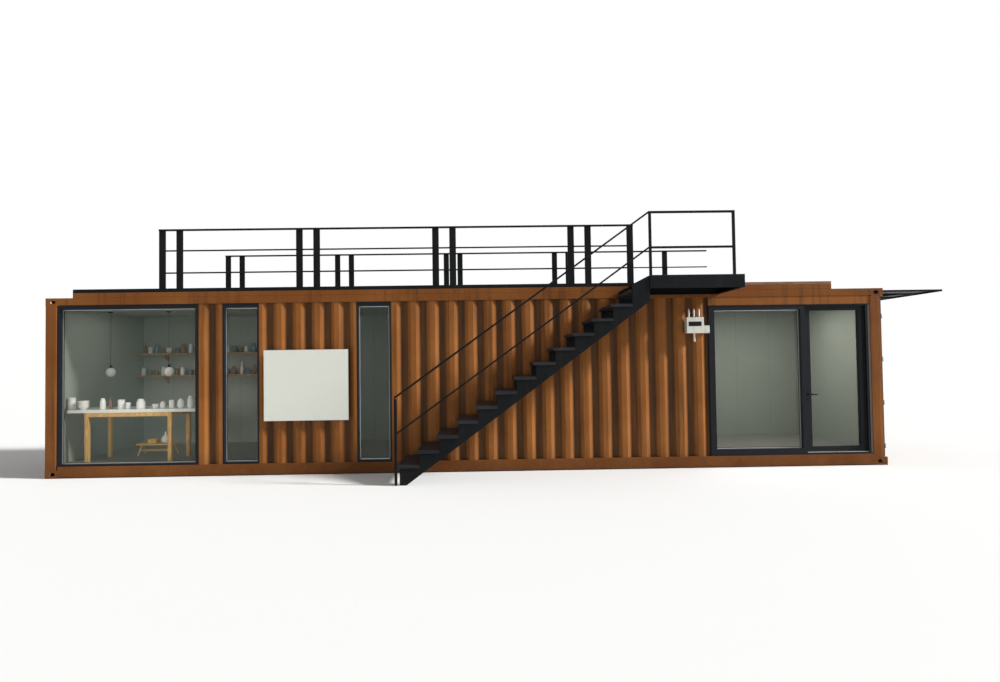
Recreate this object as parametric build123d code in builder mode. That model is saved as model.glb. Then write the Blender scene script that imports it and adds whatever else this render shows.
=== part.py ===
"""A forty foot shipping container turned into a cabin, with a roof terrace and an outside stair.

Millimetres. +X runs along the container from its blind end to its cargo doors, the glazed front
faces -Y, +Z is up. The origin is the middle of the rectangle on which the bottom corner castings stand.
"""
import os

from build123d import *

os.makedirs("parts", exist_ok=True)

# Container box
length = 12192
width = 2438
height = 2591

# Corner castings
casting_length = 178
casting_width = 162
casting_height = 118
casting_wall = 14
casting_floor = 28
casting_slot_length = 124
casting_slot_width = 63.5
slot_from_end = 103.5
slot_from_side = 89.5
side_hole_length = 79.5
side_hole_width = 51

# Corner posts
blind_post_width = 158
cargo_post_width = 118
post_depth = 162
post_wall = 6
cargo_recess = 84

# Bottom and top rails, sills and headers
rail_lift = 12.5
rail_height = 155
rail_flange = 48
rail_plate = 6
top_rail_height = 104
top_rail_width = 60
top_rail_plate = 4
sill_width = 60

# Corrugated sheet of the walls and of the roof
sheet = 2
flute_pitch = 278
flute_flat = 72
flute_slope = 68
flute_depth = 36
flute_margin = 8
flute_lead = 10
flute_start = 2270
least_strip = 1
roof_pitch = 209
roof_flat = 68
roof_slope = 36.5
roof_depth = 20
roof_drop = 6

# Floor, its bearers and the inner lining
bearer_height = 122
bearer_flange = 45
bearer_plate = 5
bearer_pitch = 600
floor_thickness = 28
lining = 12
ceiling_drop = 14

# Openings of the front wall, measured from the blind end
window_left = 158
window_right = 2180
slot_one_left = 2528
slot_one_right = 3058
slot_two_left = 4464
slot_two_right = 4965
trim_plate = 3

# Window frames and their glass
frame_setback = 10
frame_depth = 100
frame_face = 42
slot_frame_face = 28
frame_head = 62
glass = 10
glass_setback = 76

# Entrance, measured from the cargo door end
entrance_from_left = 9605
entrance_right_inset = 202
entrance_top_drop = 224
entrance_stile = 90
entrance_head = 72
entrance_sill = 28
mullion = 50
jamb = 50
door_width = 913
door_gap = 6
latch_gap = 8
door_floor_gap = 8
door_stop = 14
stop_gap = 6
door_stile = 90
door_top_rail = 52
door_bottom_rail = 57
door_thickness = 50
door_inset = 44
handle_height = 1040
handle_length = 130
handle_bar = 18
handle_reach = 48
handle_plate = 6
handle_plate_width = 34
handle_plate_height = 220

# Hinges of the entrance door
hinge_count = 3
hinge_length = 90
hinge_end = 150
hinge_pin_radius = 6
hinge_barrel_radius = 11
hinge_clearance = 0.05
hinge_leaf = 4
hinge_leaf_width = 34
hinge_lift = 1

# Cargo doors at the far end, kept shut
cargo_leaf = 50
cargo_frame = 60
cargo_edge_gap = 10
cargo_centre_gap = 12
lock_rod_radius = 17
lock_rod_from_edge = 300
lock_rod_standoff = 4
rod_keeper = 60
lug_radius = 14
lug_height = 70
lug_count = 4
lug_first = 240
lug_pitch = 635

# Awning sheet over the cargo door end
awning_reach = 900
awning_plate = 28
awning_drop = 28
awning_edge_inset = 20
awning_bracket = 10
awning_bracket_drop = 68
awning_bracket_reach = 620
awning_bracket_inset = 300

# Roof terrace
deck_left = 390
deck_right_inset = 762
edge_beam_height = 72
edge_beam_width = 60
deck_thickness = 40
deck_edge_plate = 8
deck_edge_lip = 12
joist_width = 50
joist_pitch = 990

# Terrace railings
post_flat = 96
post_plate = 12
post_setback = 14
first_post = 1617
pair_gap = 250
pair_pitch = 1980
pairs = 4
end_post = 8427
rear_single_post = 9584
rear_bars_end = 10406
top_bar_height = 24
top_bar_width = 40
mid_bar = 20
railing_height = 873
upper_mid_height = 562
lower_mid_height = 238

# Stair and landing
landing_left = 8515
landing_length = 1261
stair_reach = 970
landing_channel = 172
landing_flange = 50
landing_web = 6
landing_plate = 10
risers = 14
stair_foot = 5180
tread_plate = 6
tread_lip = 40
stringer_plate = 14
stringer_depth = 345
tread_nosing = 25
tread_end_reach = 15
head_gusset = 60
stair_wall_gap = 20
first_rise = 262.5
baluster = 35
guard_height = 848
guard_mid_height = 380
rail_bar = 28
guard_right_inset = 115
newel_height = 1149
newel_mid_height = 690

# Blank board on the front
board_left = 3139
board_right = 4355
board_bottom = 780
board_top = 1800
board_plate = 20
board_batten = 30
board_batten_width = 40

# Electric box beside the entrance
box_left = 9250
box_width = 250
box_top_drop = 401
box_height = 230
box_depth = 120
side_box_width = 95
side_box_height = 110
side_box_depth = 80
insulator_count = 3
insulator_radius = 16
insulator_height = 130
insulator_pitch = 75
stub_radius = 14
stub_drop = 120

# Inside, seen through the glass
table_left = 60
table_right = 2310
table_gap = 20
table_depth = 640
table_top = 968
table_plate = 46
table_leg = 58
table_leg_left = 480
table_leg_right = 1740
apron_height = 60
apron_plate = 22
stool_left = 860
stool_length = 590
stool_depth = 240
stool_height = 185
stool_top = 26
stool_leg = 34
stool_front = 800
lamp_spots = (362, 1283)
lamp_depth = 1000
globe_radius = 77
globe_height = 1500
lamp_neck = 42
lamp_neck_radius = 17
lamp_cord_radius = 3
lamp_rose_radius = 45
lamp_rose_height = 22
shelf_left = 170
shelf_right = 2900
shelf_depth = 260
shelf_plate = 24
shelf_heights = (1420, 1810)
shelf_bracket_height = 150
shelf_bracket_plate = 6
shelf_bracket_pitch = 900
pot_radius = 42
pot_height = 105
pot_knob_radius = 12
pot_knob_height = 16
table_pot_spots = (330, 700, 820, 960, 1270, 1560, 1700)
jar_radius = 48
jar_height = 150
shelf_jar_spots = (420, 640, 1010, 1240, 1500, 1830, 2200, 2480)

# Places that several pieces share
left_end = -length / 2
right_end = length / 2
front_face = -width / 2
rear_face = width / 2
rail_top = rail_lift + rail_height
top_rail_bottom = height - top_rail_height
wall_height = top_rail_bottom - rail_top
sheet_outer = front_face + flute_margin
sheet_inner = sheet_outer + flute_depth + sheet
lining_outer = front_face + top_rail_width
lining_inner = lining_outer + lining
floor_top = rail_top + floor_thickness
ceiling_bottom = top_rail_bottom - ceiling_drop - lining
post_bottom = casting_height
post_top = height - casting_height
inner_left = left_end + sill_width
cargo_post_right = right_end - cargo_recess
cargo_post_left = cargo_post_right - cargo_post_width
inner_right = cargo_post_right - sill_width
entrance_left = left_end + entrance_from_left
entrance_right = right_end - entrance_right_inset
entrance_top = height - entrance_top_drop
awning_top = height - awning_drop
beam_top = height + edge_beam_height
deck_top = beam_top + deck_thickness
deck_from = left_end + deck_left
deck_to = right_end - deck_right_inset
landing_from = left_end + landing_left
landing_to = landing_from + landing_length
landing_front = front_face - stair_reach
entrance_front = front_face + frame_setback
entrance_back = entrance_front + frame_depth
opening_spans = ((left_end + window_left, left_end + window_right),
                 (left_end + slot_one_left, left_end + slot_one_right),
                 (left_end + slot_two_left, left_end + slot_two_right),
                 (entrance_left, entrance_right))


def block(x_from, x_to, y_from, y_to, z_from, z_to, mode=Mode.ADD):
    """A rectangular block between two opposite corners, in the part being built."""
    with Locations(((x_from + x_to) / 2, (y_from + y_to) / 2, (z_from + z_to) / 2)):
        Box(x_to - x_from, y_to - y_from, z_to - z_from, mode=mode)


def casting_notch():
    """Room for the four upper corner castings, taken out of the part being built."""
    for x_from, x_to in ((left_end, left_end + casting_length), (right_end - casting_length, right_end)):
        for y_from, y_to in ((front_face, front_face + casting_width), (rear_face - casting_width, rear_face)):
            block(x_from, x_to, y_from, y_to, post_top, height, Mode.SUBTRACT)


def frame_notches(z_from, z_to):
    """Room for the window and entrance frames in a board that runs up to the front wall."""
    for x_from, x_to in opening_spans:
        block(x_from, x_to, front_face, entrance_back, z_from, z_to, Mode.SUBTRACT)


def tube(x_from, x_to, y_from, y_to, z_from, z_to, plate, along):
    """A rectangular tube of one plate thickness, open at both ends, along X, Y or Z."""
    block(x_from, x_to, y_from, y_to, z_from, z_to)
    dx, dy, dz = [0 if axis == along else plate for axis in "XYZ"]
    block(x_from + dx, x_to - dx, y_from + dy, y_to - dy, z_from + dz, z_to - dz, Mode.SUBTRACT)


def flutes(start, end, first, pitch, flat, slope, depth):
    """Corners (along, across) of one side of a corrugated sheet, cut out of a pattern from start to end.

    A slope into the wall begins at first and at every pitch from it. Across is 0 on the outer flats
    and depth on the inner ones.
    """
    corners = []
    base = first - pitch * ((first - start) // pitch + 1)
    places = [base + pitch * step + run for step in range(int((end - start) / pitch) + 3)
              for run in (0, slope, pitch - flat - slope, pitch - flat)]
    inside = [place for place in places if start + least_strip < place < end - least_strip]
    for place in [start] + inside + [end]:
        run = (place - first) % pitch
        corners.append((place, depth * max(0, min(1, run / slope, (pitch - flat - run) / slope))))
    return corners


def wall_sheet(start, end):
    """Corrugated sheet between two places on the length, standing on the front bottom rail."""
    outer = [(x, sheet_outer + y) for x, y in
             flutes(start, end, left_end + flute_start, flute_pitch, flute_flat, flute_slope, flute_depth)]
    inner = [(x, y + sheet) for x, y in reversed(outer)]
    with BuildSketch(Plane.XY.offset(rail_top)) as profile:
        with BuildLine():
            Polyline(*outer, *inner, close=True)
        make_face()
    extrude(profile.sketch, amount=wall_height)


# Corner castings: hollow blocks with one oval hole in the top or bottom, one in the side, one in the end
with BuildPart() as corner_castings:
    block(right_end - casting_length, right_end, front_face, front_face + casting_width, 0, casting_height)
    block(right_end - casting_length + casting_wall, right_end - casting_wall,
          front_face + casting_wall, front_face + casting_width - casting_wall,
          casting_floor, casting_height - casting_floor, Mode.SUBTRACT)
    with BuildSketch(Plane.XY):
        with Locations((right_end - slot_from_end, front_face + slot_from_side)):
            SlotOverall(casting_slot_length, casting_slot_width)
    extrude(amount=casting_floor, mode=Mode.SUBTRACT)
    with BuildSketch(Plane.XZ.offset(-front_face)):
        with Locations((right_end - slot_from_end, casting_height / 2)):
            SlotOverall(side_hole_length, side_hole_width)
    extrude(amount=-casting_wall, mode=Mode.SUBTRACT)
    with BuildSketch(Plane.YZ.offset(right_end)):
        with Locations((front_face + slot_from_side, casting_height / 2)):
            SlotOverall(side_hole_length, side_hole_width)
    extrude(amount=-casting_wall, mode=Mode.SUBTRACT)
    mirror(about=Plane.YZ)
    mirror(about=Plane.XZ)
    mirror(about=Plane.XY.offset(height / 2))
corner_castings.part.label = "corner_castings"
export_step(corner_castings.part, "parts/corner_castings.step")

# Corner posts: square tubes between the castings, set back at the cargo doors
with BuildPart() as corner_posts:
    tube(left_end, left_end + blind_post_width, front_face, front_face + post_depth,
         post_bottom, post_top, post_wall, "Z")
    tube(cargo_post_left, cargo_post_right, front_face, front_face + post_depth,
         post_bottom, post_top, post_wall, "Z")
    mirror(about=Plane.XZ)
corner_posts.part.label = "corner_posts"
export_step(corner_posts.part, "parts/corner_posts.step")

# Bottom side rails: channels with the web outside
with BuildPart() as bottom_side_rails:
    rail_from = left_end + casting_length
    rail_to = right_end - casting_length
    block(rail_from, rail_to, front_face, front_face + rail_flange, rail_lift, rail_top)
    block(rail_from, rail_to, front_face + rail_plate, front_face + rail_flange,
          rail_lift + rail_plate, rail_top - rail_plate, Mode.SUBTRACT)
    block(cargo_post_left, rail_to, front_face, front_face + rail_flange, casting_height, rail_top, Mode.SUBTRACT)
    mirror(about=Plane.XZ)
bottom_side_rails.part.label = "bottom_side_rails"
export_step(bottom_side_rails.part, "parts/bottom_side_rails.step")

# Top side rails: tubes on which the walls and the terrace beams meet
with BuildPart() as top_side_rails:
    tube(left_end + casting_length, right_end - casting_length, front_face, front_face + top_rail_width,
         top_rail_bottom, height, top_rail_plate, "X")
    mirror(about=Plane.XZ)
top_side_rails.part.label = "top_side_rails"
export_step(top_side_rails.part, "parts/top_side_rails.step")

# End sills and headers, across the container between the castings
sill_half = width / 2 - casting_width
with BuildPart() as end_members:
    tube(left_end, inner_left, -sill_half, sill_half, rail_lift, rail_top, rail_plate, "Y")
    tube(cargo_post_right - sill_width, cargo_post_right, -sill_half, sill_half,
         rail_lift, rail_top, rail_plate, "Y")
    tube(left_end, inner_left, -sill_half, sill_half, top_rail_bottom, height, top_rail_plate, "Y")
    tube(cargo_post_right - sill_width, cargo_post_right, -sill_half, sill_half,
         top_rail_bottom, height, top_rail_plate, "Y")
end_members.part.label = "end_members"
export_step(end_members.part, "parts/end_members.step")

# Floor bearers: channels from rail to rail
bearer_room = inner_right - inner_left
bearer_total = int(bearer_room // bearer_pitch) - 1
bearer_half = width / 2 - rail_flange
with BuildPart() as floor_bearers:
    with BuildSketch(Plane.XZ.offset(bearer_half)) as bearer_profile:
        with GridLocations(bearer_pitch, 1, bearer_total, 1):
            with Locations(((inner_left + inner_right) / 2, rail_top - bearer_height / 2)):
                Rectangle(bearer_flange, bearer_height)
                with Locations((bearer_plate / 2, 0)):
                    Rectangle(bearer_flange - bearer_plate, bearer_height - 2 * bearer_plate,
                              mode=Mode.SUBTRACT)
    extrude(amount=-2 * bearer_half)
floor_bearers.part.label = "floor_bearers"
export_step(floor_bearers.part, "parts/floor_bearers.step")

with BuildPart() as floor_boards:
    block(left_end + blind_post_width, cargo_post_left, lining_outer, -lining_outer, rail_top, floor_top)
    block(inner_left, inner_right, post_depth - width / 2, width / 2 - post_depth, rail_top, floor_top)
    frame_notches(rail_top, floor_top)
floor_boards.part.label = "floor_boards"
export_step(floor_boards.part, "parts/floor_boards.step")

# Roof: one corrugated sheet between the top rails, its flutes running across, and a flat plate at each end
roof_half = length / 2 - casting_length
roof_plate_top = height - roof_drop
with BuildPart() as roof_sheet:
    block(inner_left, -roof_half, -sill_half, sill_half, roof_plate_top - sheet, roof_plate_top)
    block(roof_half, inner_right, -sill_half, sill_half, roof_plate_top - sheet, roof_plate_top)
    outside = [(x, roof_plate_top - z) for x, z in
               flutes(-roof_half, roof_half, roof_flat - roof_half, roof_pitch, roof_flat, roof_slope, roof_depth)]
    inside = [(x, z - sheet) for x, z in reversed(outside)]
    with BuildSketch(Plane.XZ.offset(-lining_outer)):
        with BuildLine():
            Polyline(*outside, *inside, close=True)
        make_face()
    extrude(amount=2 * lining_outer)
roof_sheet.part.label = "roof_sheet"
export_step(roof_sheet.part, "parts/roof_sheet.step")

# Corrugated front wall, in three pieces between the openings; its flutes run on at one pitch past them
with BuildPart() as front_wall:
    wall_sheet(left_end + window_right, left_end + slot_one_left)
    wall_sheet(left_end + slot_one_right, left_end + slot_two_left)
    wall_sheet(left_end + slot_two_right, entrance_left)
front_wall.part.label = "front_wall"
export_step(front_wall.part, "parts/front_wall.step")

# Flat plate over the entrance
with BuildPart() as front_wall_trims:
    block(entrance_left, entrance_right, sheet_outer, sheet_outer + trim_plate,
          entrance_top, top_rail_bottom)
front_wall_trims.part.label = "front_wall_trims"
export_step(front_wall_trims.part, "parts/front_wall_trims.step")

with BuildPart() as back_wall:
    wall_sheet(left_end + blind_post_width, cargo_post_left)
    casting_notch()
    mirror(about=Plane.XZ, mode=Mode.REPLACE)
back_wall.part.label = "back_wall"
export_step(back_wall.part, "parts/back_wall.step")

# Blind end: the same corrugated sheet between the posts, sill and header
end_half = width / 2 - post_depth
with BuildPart() as blind_end_wall:
    outer = [(left_end + flute_margin + x, y) for y, x in
             flutes(-end_half, end_half, flute_lead - end_half, flute_pitch, flute_flat, flute_slope,
                    flute_depth)]
    inner = [(x + sheet, y) for x, y in reversed(outer)]
    with BuildSketch(Plane.XY.offset(rail_top)):
        with BuildLine():
            Polyline(*outer, *inner, close=True)
        make_face()
    extrude(amount=wall_height)
blind_end_wall.part.label = "blind_end_wall"
export_step(blind_end_wall.part, "parts/blind_end_wall.step")

# Inner lining boards
lining_left = left_end + blind_post_width
lining_right = cargo_post_left
with BuildPart() as wall_linings:
    for board_from, board_to in ((window_right, slot_one_left), (slot_one_right, slot_two_left)):
        block(left_end + board_from, left_end + board_to, lining_outer, lining_inner,
              floor_top, ceiling_bottom)
    block(left_end + slot_two_right, entrance_left, lining_outer, lining_inner, floor_top, ceiling_bottom)
    block(lining_left, lining_right, -lining_inner, -lining_outer, floor_top, ceiling_bottom)
wall_linings.part.label = "wall_linings"
export_step(wall_linings.part, "parts/wall_linings.step")

with BuildPart() as end_linings:
    block(lining_left, lining_left + lining, -end_half, -lining_inner, floor_top, ceiling_bottom)
    block(lining_right - lining, lining_right, -end_half, -lining_inner, floor_top, ceiling_bottom)
end_linings.part.label = "end_linings"
export_step(end_linings.part, "parts/end_linings.step")

with BuildPart() as ceiling:
    block(lining_left, lining_right, lining_outer, -lining_outer, ceiling_bottom, ceiling_bottom + lining)
    frame_notches(ceiling_bottom, ceiling_bottom + lining)
ceiling.part.label = "ceiling"
export_step(ceiling.part, "parts/ceiling.step")


def window_frame(x_from, x_to, face):
    """An aluminium frame that fills an opening from rail to rail."""
    y_from = front_face + frame_setback
    block(x_from, x_to, y_from, y_from + frame_depth, rail_top, top_rail_bottom)
    block(x_from + face, x_to - face, y_from, y_from + frame_depth,
          floor_top, top_rail_bottom - frame_head, Mode.SUBTRACT)


def window_glass(x_from, x_to, face):
    """The pane of such a frame, which fills the frame's opening."""
    y_from = front_face + frame_setback + glass_setback
    block(x_from + face, x_to - face, y_from, y_from + glass, floor_top, top_rail_bottom - frame_head)


with BuildPart() as window_frames:
    window_frame(left_end + window_left, left_end + window_right, frame_face)
    window_frame(left_end + slot_one_left, left_end + slot_one_right, slot_frame_face)
    window_frame(left_end + slot_two_left, left_end + slot_two_right, slot_frame_face)
    casting_notch()
window_frames.part.label = "window_frames"
export_step(window_frames.part, "parts/window_frames.step")

# Entrance frame: head, sill, jambs and mullion round the fixed light and the doorway
door_right = entrance_right - jamb - door_gap
door_left = door_right - door_width
mullion_right = door_left - latch_gap
mullion_left = mullion_right - mullion
light_left = entrance_left + entrance_stile
door_bottom = floor_top + door_floor_gap
light_bottom = door_bottom + door_bottom_rail
light_top = entrance_top - entrance_head
door_top = light_top + door_top_rail
doorway_top = door_top + door_gap
leaf_front = entrance_back - door_thickness
with BuildPart() as entrance_frame:
    block(entrance_left, entrance_right, entrance_front, entrance_back, rail_top, entrance_top)
    block(light_left, mullion_left, entrance_front, entrance_back, light_bottom, light_top, Mode.SUBTRACT)
    block(mullion_right, entrance_right - jamb, leaf_front - stop_gap, entrance_back,
          rail_top + entrance_sill, doorway_top, Mode.SUBTRACT)
    block(mullion_right + door_stop, entrance_right - jamb - door_stop, entrance_front, entrance_back,
          rail_top + entrance_sill, doorway_top - door_stop, Mode.SUBTRACT)
entrance_frame.part.label = "entrance_frame"
export_step(entrance_frame.part, "parts/entrance_frame.step")

pane_front = front_face + frame_setback + glass_setback
with BuildPart() as window_panes:
    window_glass(left_end + window_left, left_end + window_right, frame_face)
    window_glass(left_end + slot_one_left, left_end + slot_one_right, slot_frame_face)
    window_glass(left_end + slot_two_left, left_end + slot_two_right, slot_frame_face)
    block(light_left, mullion_left, pane_front, pane_front + glass, light_bottom, light_top)
window_panes.part.label = "window_panes"
export_step(window_panes.part, "parts/window_panes.step")

# Entrance door: a glazed leaf that opens inwards on hinges at its right stile
with BuildPart() as entrance_door:
    block(door_left, door_right, leaf_front, entrance_back, door_bottom, door_top)
    block(door_left + door_stile, door_right - door_stile, leaf_front, entrance_back,
          light_bottom, light_top, Mode.SUBTRACT)
entrance_door.part.label = "entrance_door"
export_step(entrance_door.part, "parts/entrance_door.step")

door_pane_front = (leaf_front + entrance_back - glass) / 2
with BuildPart() as entrance_door_pane:
    block(door_left + door_stile, door_right - door_stile, door_pane_front, door_pane_front + glass,
          light_bottom, light_top)
entrance_door_pane.part.label = "entrance_door_pane"
export_step(entrance_door_pane.part, "parts/entrance_door_pane.step")

# Lever handles on both faces of the leaf, beside the mullion
handle_x = door_left + door_stile / 2
with BuildPart() as door_handles:
    for face, way in ((leaf_front, -1), (entrance_back, 1)):
        with BuildSketch(Plane.XZ.offset(-face)):
            with Locations((handle_x, handle_height)):
                Rectangle(handle_plate_width, handle_plate_height)
        extrude(amount=-way * handle_plate)
        with BuildSketch(Plane.XZ.offset(-face)):
            with Locations((handle_x, handle_height)):
                Circle(handle_bar / 2)
        extrude(amount=-way * handle_reach)
        reach_from, reach_to = sorted((face + way * (handle_reach - handle_bar), face + way * handle_reach))
        block(handle_x - handle_bar / 2, handle_x + handle_length, reach_from, reach_to,
              handle_height - handle_bar / 2, handle_height + handle_bar / 2)
door_handles.part.label = "door_handles"
export_step(door_handles.part, "parts/door_handles.step")

# Hinges: each has a lower barrel with the pin on the frame and an upper barrel on the leaf
hinge_x = door_right + door_gap / 2
hinge_y = entrance_back + hinge_barrel_radius
hinge_half = hinge_length / 2
hinge_run = (door_top - hinge_end) - (door_bottom + hinge_end)
hinge_bottoms = [door_bottom + hinge_end + hinge_run * step / (hinge_count - 1) - hinge_half
                 for step in range(hinge_count)]
with BuildPart() as hinge_pins:
    for bottom in hinge_bottoms:
        with BuildSketch(Plane.XY.offset(bottom)):
            with Locations((hinge_x, hinge_y)):
                Circle(hinge_barrel_radius)
            with Locations((hinge_x + hinge_leaf_width / 2, entrance_back + hinge_leaf / 2)):
                Rectangle(hinge_leaf_width, hinge_leaf)
        extrude(amount=hinge_half)
        with BuildSketch(Plane.XY.offset(bottom + hinge_half)):
            with Locations((hinge_x, hinge_y)):
                Circle(hinge_pin_radius)
        extrude(amount=hinge_half)
hinge_pins.part.label = "hinge_pins"
export_step(hinge_pins.part, "parts/hinge_pins.step")

with BuildPart() as door_hinge_barrels:
    for bottom in hinge_bottoms:
        with BuildSketch(Plane.XY.offset(bottom + hinge_half + hinge_lift)):
            with Locations((hinge_x, hinge_y)):
                Circle(hinge_barrel_radius)
            with Locations((hinge_x - hinge_leaf_width / 2, entrance_back + hinge_leaf / 2)):
                Rectangle(hinge_leaf_width, hinge_leaf)
            with Locations((hinge_x, hinge_y)):
                Circle(hinge_pin_radius + hinge_clearance, mode=Mode.SUBTRACT)
        extrude(amount=hinge_half - hinge_lift)
door_hinge_barrels.part.label = "door_hinge_barrels"
export_step(door_hinge_barrels.part, "parts/door_hinge_barrels.step")

# Cargo doors: two shut leaves with a frame edge, a fluted skin and two lock rods each
cargo_back = cargo_post_right
cargo_front = cargo_back + cargo_leaf
cargo_half = width / 2 - cargo_edge_gap
cargo_bottom = casting_height + cargo_edge_gap
cargo_top = height - casting_height - cargo_edge_gap
skin_from = cargo_centre_gap / 2 + cargo_frame
skin_to = cargo_half - cargo_frame
with BuildPart() as cargo_doors:
    block(cargo_back, cargo_front, cargo_centre_gap / 2, cargo_half, cargo_bottom, cargo_top)
    block(cargo_back, cargo_front, skin_from, skin_to,
          cargo_bottom + cargo_frame, cargo_top - cargo_frame, Mode.SUBTRACT)
    skin_outside = [(cargo_front - sheet - x, y) for y, x in
                    flutes(skin_from, skin_to, skin_from + flute_lead, flute_pitch, flute_flat, flute_slope,
                           flute_depth)]
    skin_inside = [(x - sheet, y) for x, y in reversed(skin_outside)]
    with BuildSketch(Plane.XY.offset(cargo_bottom + cargo_frame)):
        with BuildLine():
            Polyline(*skin_outside, *skin_inside, close=True)
        make_face()
    extrude(amount=cargo_top - cargo_bottom - 2 * cargo_frame)
    mirror(about=Plane.XZ)
cargo_doors.part.label = "cargo_doors"
export_step(cargo_doors.part, "parts/cargo_doors.step")

# Lock rods in their keepers, and the hinge lugs on the outer edge of each leaf
rod_x = cargo_front + lock_rod_standoff + lock_rod_radius
with BuildPart() as cargo_door_gear:
    for side in (1, -1):
        for across in (cargo_centre_gap / 2 + lock_rod_from_edge, cargo_half - lock_rod_from_edge):
            with BuildSketch(Plane.XY.offset(cargo_bottom)):
                with Locations((rod_x, side * across)):
                    Circle(lock_rod_radius)
            extrude(amount=cargo_top - cargo_bottom)
            for z_from in (cargo_bottom, cargo_top - rod_keeper):
                block(cargo_front, rod_x, side * across - lock_rod_radius, side * across + lock_rod_radius,
                      z_from, z_from + rod_keeper)
    for side in (1, -1):
        for step in range(lug_count):
            with BuildSketch(Plane.XY.offset(lug_first + step * lug_pitch)):
                with Locations((cargo_front + lug_radius, side * (cargo_half - lug_radius))):
                    Circle(lug_radius)
            extrude(amount=lug_height)
cargo_door_gear.part.label = "cargo_door_gear"
export_step(cargo_door_gear.part, "parts/cargo_door_gear.step")

# Awning: a thin level sheet over the cargo door end, on two brackets
awning_from = right_end
awning_half = width / 2 - awning_edge_inset
with BuildPart() as awning_sheet:
    block(awning_from, awning_from + awning_reach, -awning_half, awning_half,
          awning_top - awning_plate, awning_top)
awning_sheet.part.label = "awning_sheet"
export_step(awning_sheet.part, "parts/awning_sheet.step")

with BuildPart() as awning_brackets:
    for side in (1, -1):
        with BuildSketch(Plane.XZ.offset(-side * (width / 2 - awning_bracket_inset) + awning_bracket / 2)):
            with BuildLine():
                Polyline((cargo_post_right, awning_top - awning_plate),
                         (awning_from + awning_bracket_reach, awning_top - awning_plate),
                         (cargo_post_right, awning_top - awning_plate - awning_bracket_drop), close=True)
            make_face()
        extrude(amount=-awning_bracket)
awning_brackets.part.label = "awning_brackets"
export_step(awning_brackets.part, "parts/awning_brackets.step")

# Terrace: two beams on the top rails, joists between them, the deck and its edge strips
joist_half = width / 2 - edge_beam_width
joist_total = int((deck_to - deck_from - joist_width) // joist_pitch) + 1
with BuildPart() as terrace_frame:
    tube(deck_from, deck_to, front_face, front_face + edge_beam_width, height, beam_top,
         top_rail_plate, "X")
    mirror(about=Plane.XZ)
    with GridLocations(joist_pitch, 1, joist_total, 1):
        with Locations(((deck_from + deck_to) / 2, 0, height + edge_beam_height / 2)):
            Box(joist_width, 2 * joist_half, edge_beam_height)
terrace_frame.part.label = "terrace_frame"
export_step(terrace_frame.part, "parts/terrace_frame.step")

with BuildPart() as terrace_deck:
    block(deck_from, deck_to, front_face + deck_edge_plate, rear_face - deck_edge_plate, beam_top, deck_top)
    block(landing_from, deck_to, front_face, front_face + deck_edge_plate, beam_top, deck_top)
terrace_deck.part.label = "terrace_deck"
export_step(terrace_deck.part, "parts/terrace_deck.step")

with BuildPart() as terrace_deck_edges:
    block(deck_from, landing_from, front_face, front_face + deck_edge_plate,
          beam_top, deck_top + deck_edge_lip)
    block(deck_from, deck_to, rear_face - deck_edge_plate, rear_face, beam_top, deck_top + deck_edge_lip)
terrace_deck_edges.part.label = "terrace_deck_edges"
export_step(terrace_deck_edges.part, "parts/terrace_deck_edges.step")

# Railings: flat posts in pairs, a top bar over them and two bars behind them
post_head = deck_top + railing_height - top_bar_height
paired_posts = [first_post + pair * pair_pitch + second * pair_gap
                for pair in range(pairs) for second in (0, 1)]
front_posts = paired_posts + [end_post]
rear_posts = paired_posts + [rear_single_post]
post_y = front_face + post_setback


def railing_posts(spots):
    """Flat upright posts on the deck, with their left edges at these places."""
    for spot in spots:
        block(left_end + spot, left_end + spot + post_flat, post_y, post_y + post_plate, deck_top, post_head)


def railing_bars(x_from, x_to):
    """The top bar on the posts and the two square bars on their inner faces."""
    middle = post_y + post_plate / 2
    block(x_from, x_to, middle - top_bar_width / 2, middle + top_bar_width / 2,
          post_head, post_head + top_bar_height)
    for bar_height in (upper_mid_height, lower_mid_height):
        block(x_from, x_to, post_y + post_plate, post_y + post_plate + mid_bar,
              deck_top + bar_height - mid_bar / 2, deck_top + bar_height + mid_bar / 2)


with BuildPart() as front_railing:
    railing_posts(front_posts)
    railing_bars(left_end + front_posts[0], left_end + front_posts[-1] + post_flat)
front_railing.part.label = "front_railing"
export_step(front_railing.part, "parts/front_railing.step")

with BuildPart() as rear_railing:
    railing_posts(rear_posts)
    railing_bars(left_end + rear_posts[0], left_end + rear_bars_end)
    mirror(about=Plane.XZ, mode=Mode.REPLACE)
rear_railing.part.label = "rear_railing"
export_step(rear_railing.part, "parts/rear_railing.step")

# Landing: a frame of channels with the webs outside, bolted to the top rail, and a floor plate
plate_bottom = deck_top - landing_plate
channel_bottom = deck_top - landing_channel
with BuildPart() as landing_frame:
    block(landing_from, landing_to, landing_front, front_face, channel_bottom, plate_bottom)
    block(landing_from + landing_flange, landing_to - landing_flange, landing_front + landing_flange,
          front_face - landing_flange, channel_bottom, plate_bottom, Mode.SUBTRACT)
    block(landing_from + landing_web, landing_to - landing_web, landing_front + landing_web,
          front_face - landing_web, channel_bottom + landing_web, plate_bottom - landing_web, Mode.SUBTRACT)
landing_frame.part.label = "landing_frame"
export_step(landing_frame.part, "parts/landing_frame.step")

with BuildPart() as landing_floor:
    block(landing_from, landing_to, landing_front, front_face, plate_bottom, deck_top)
landing_floor.part.label = "landing_floor"
export_step(landing_floor.part, "parts/landing_floor.step")

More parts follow.
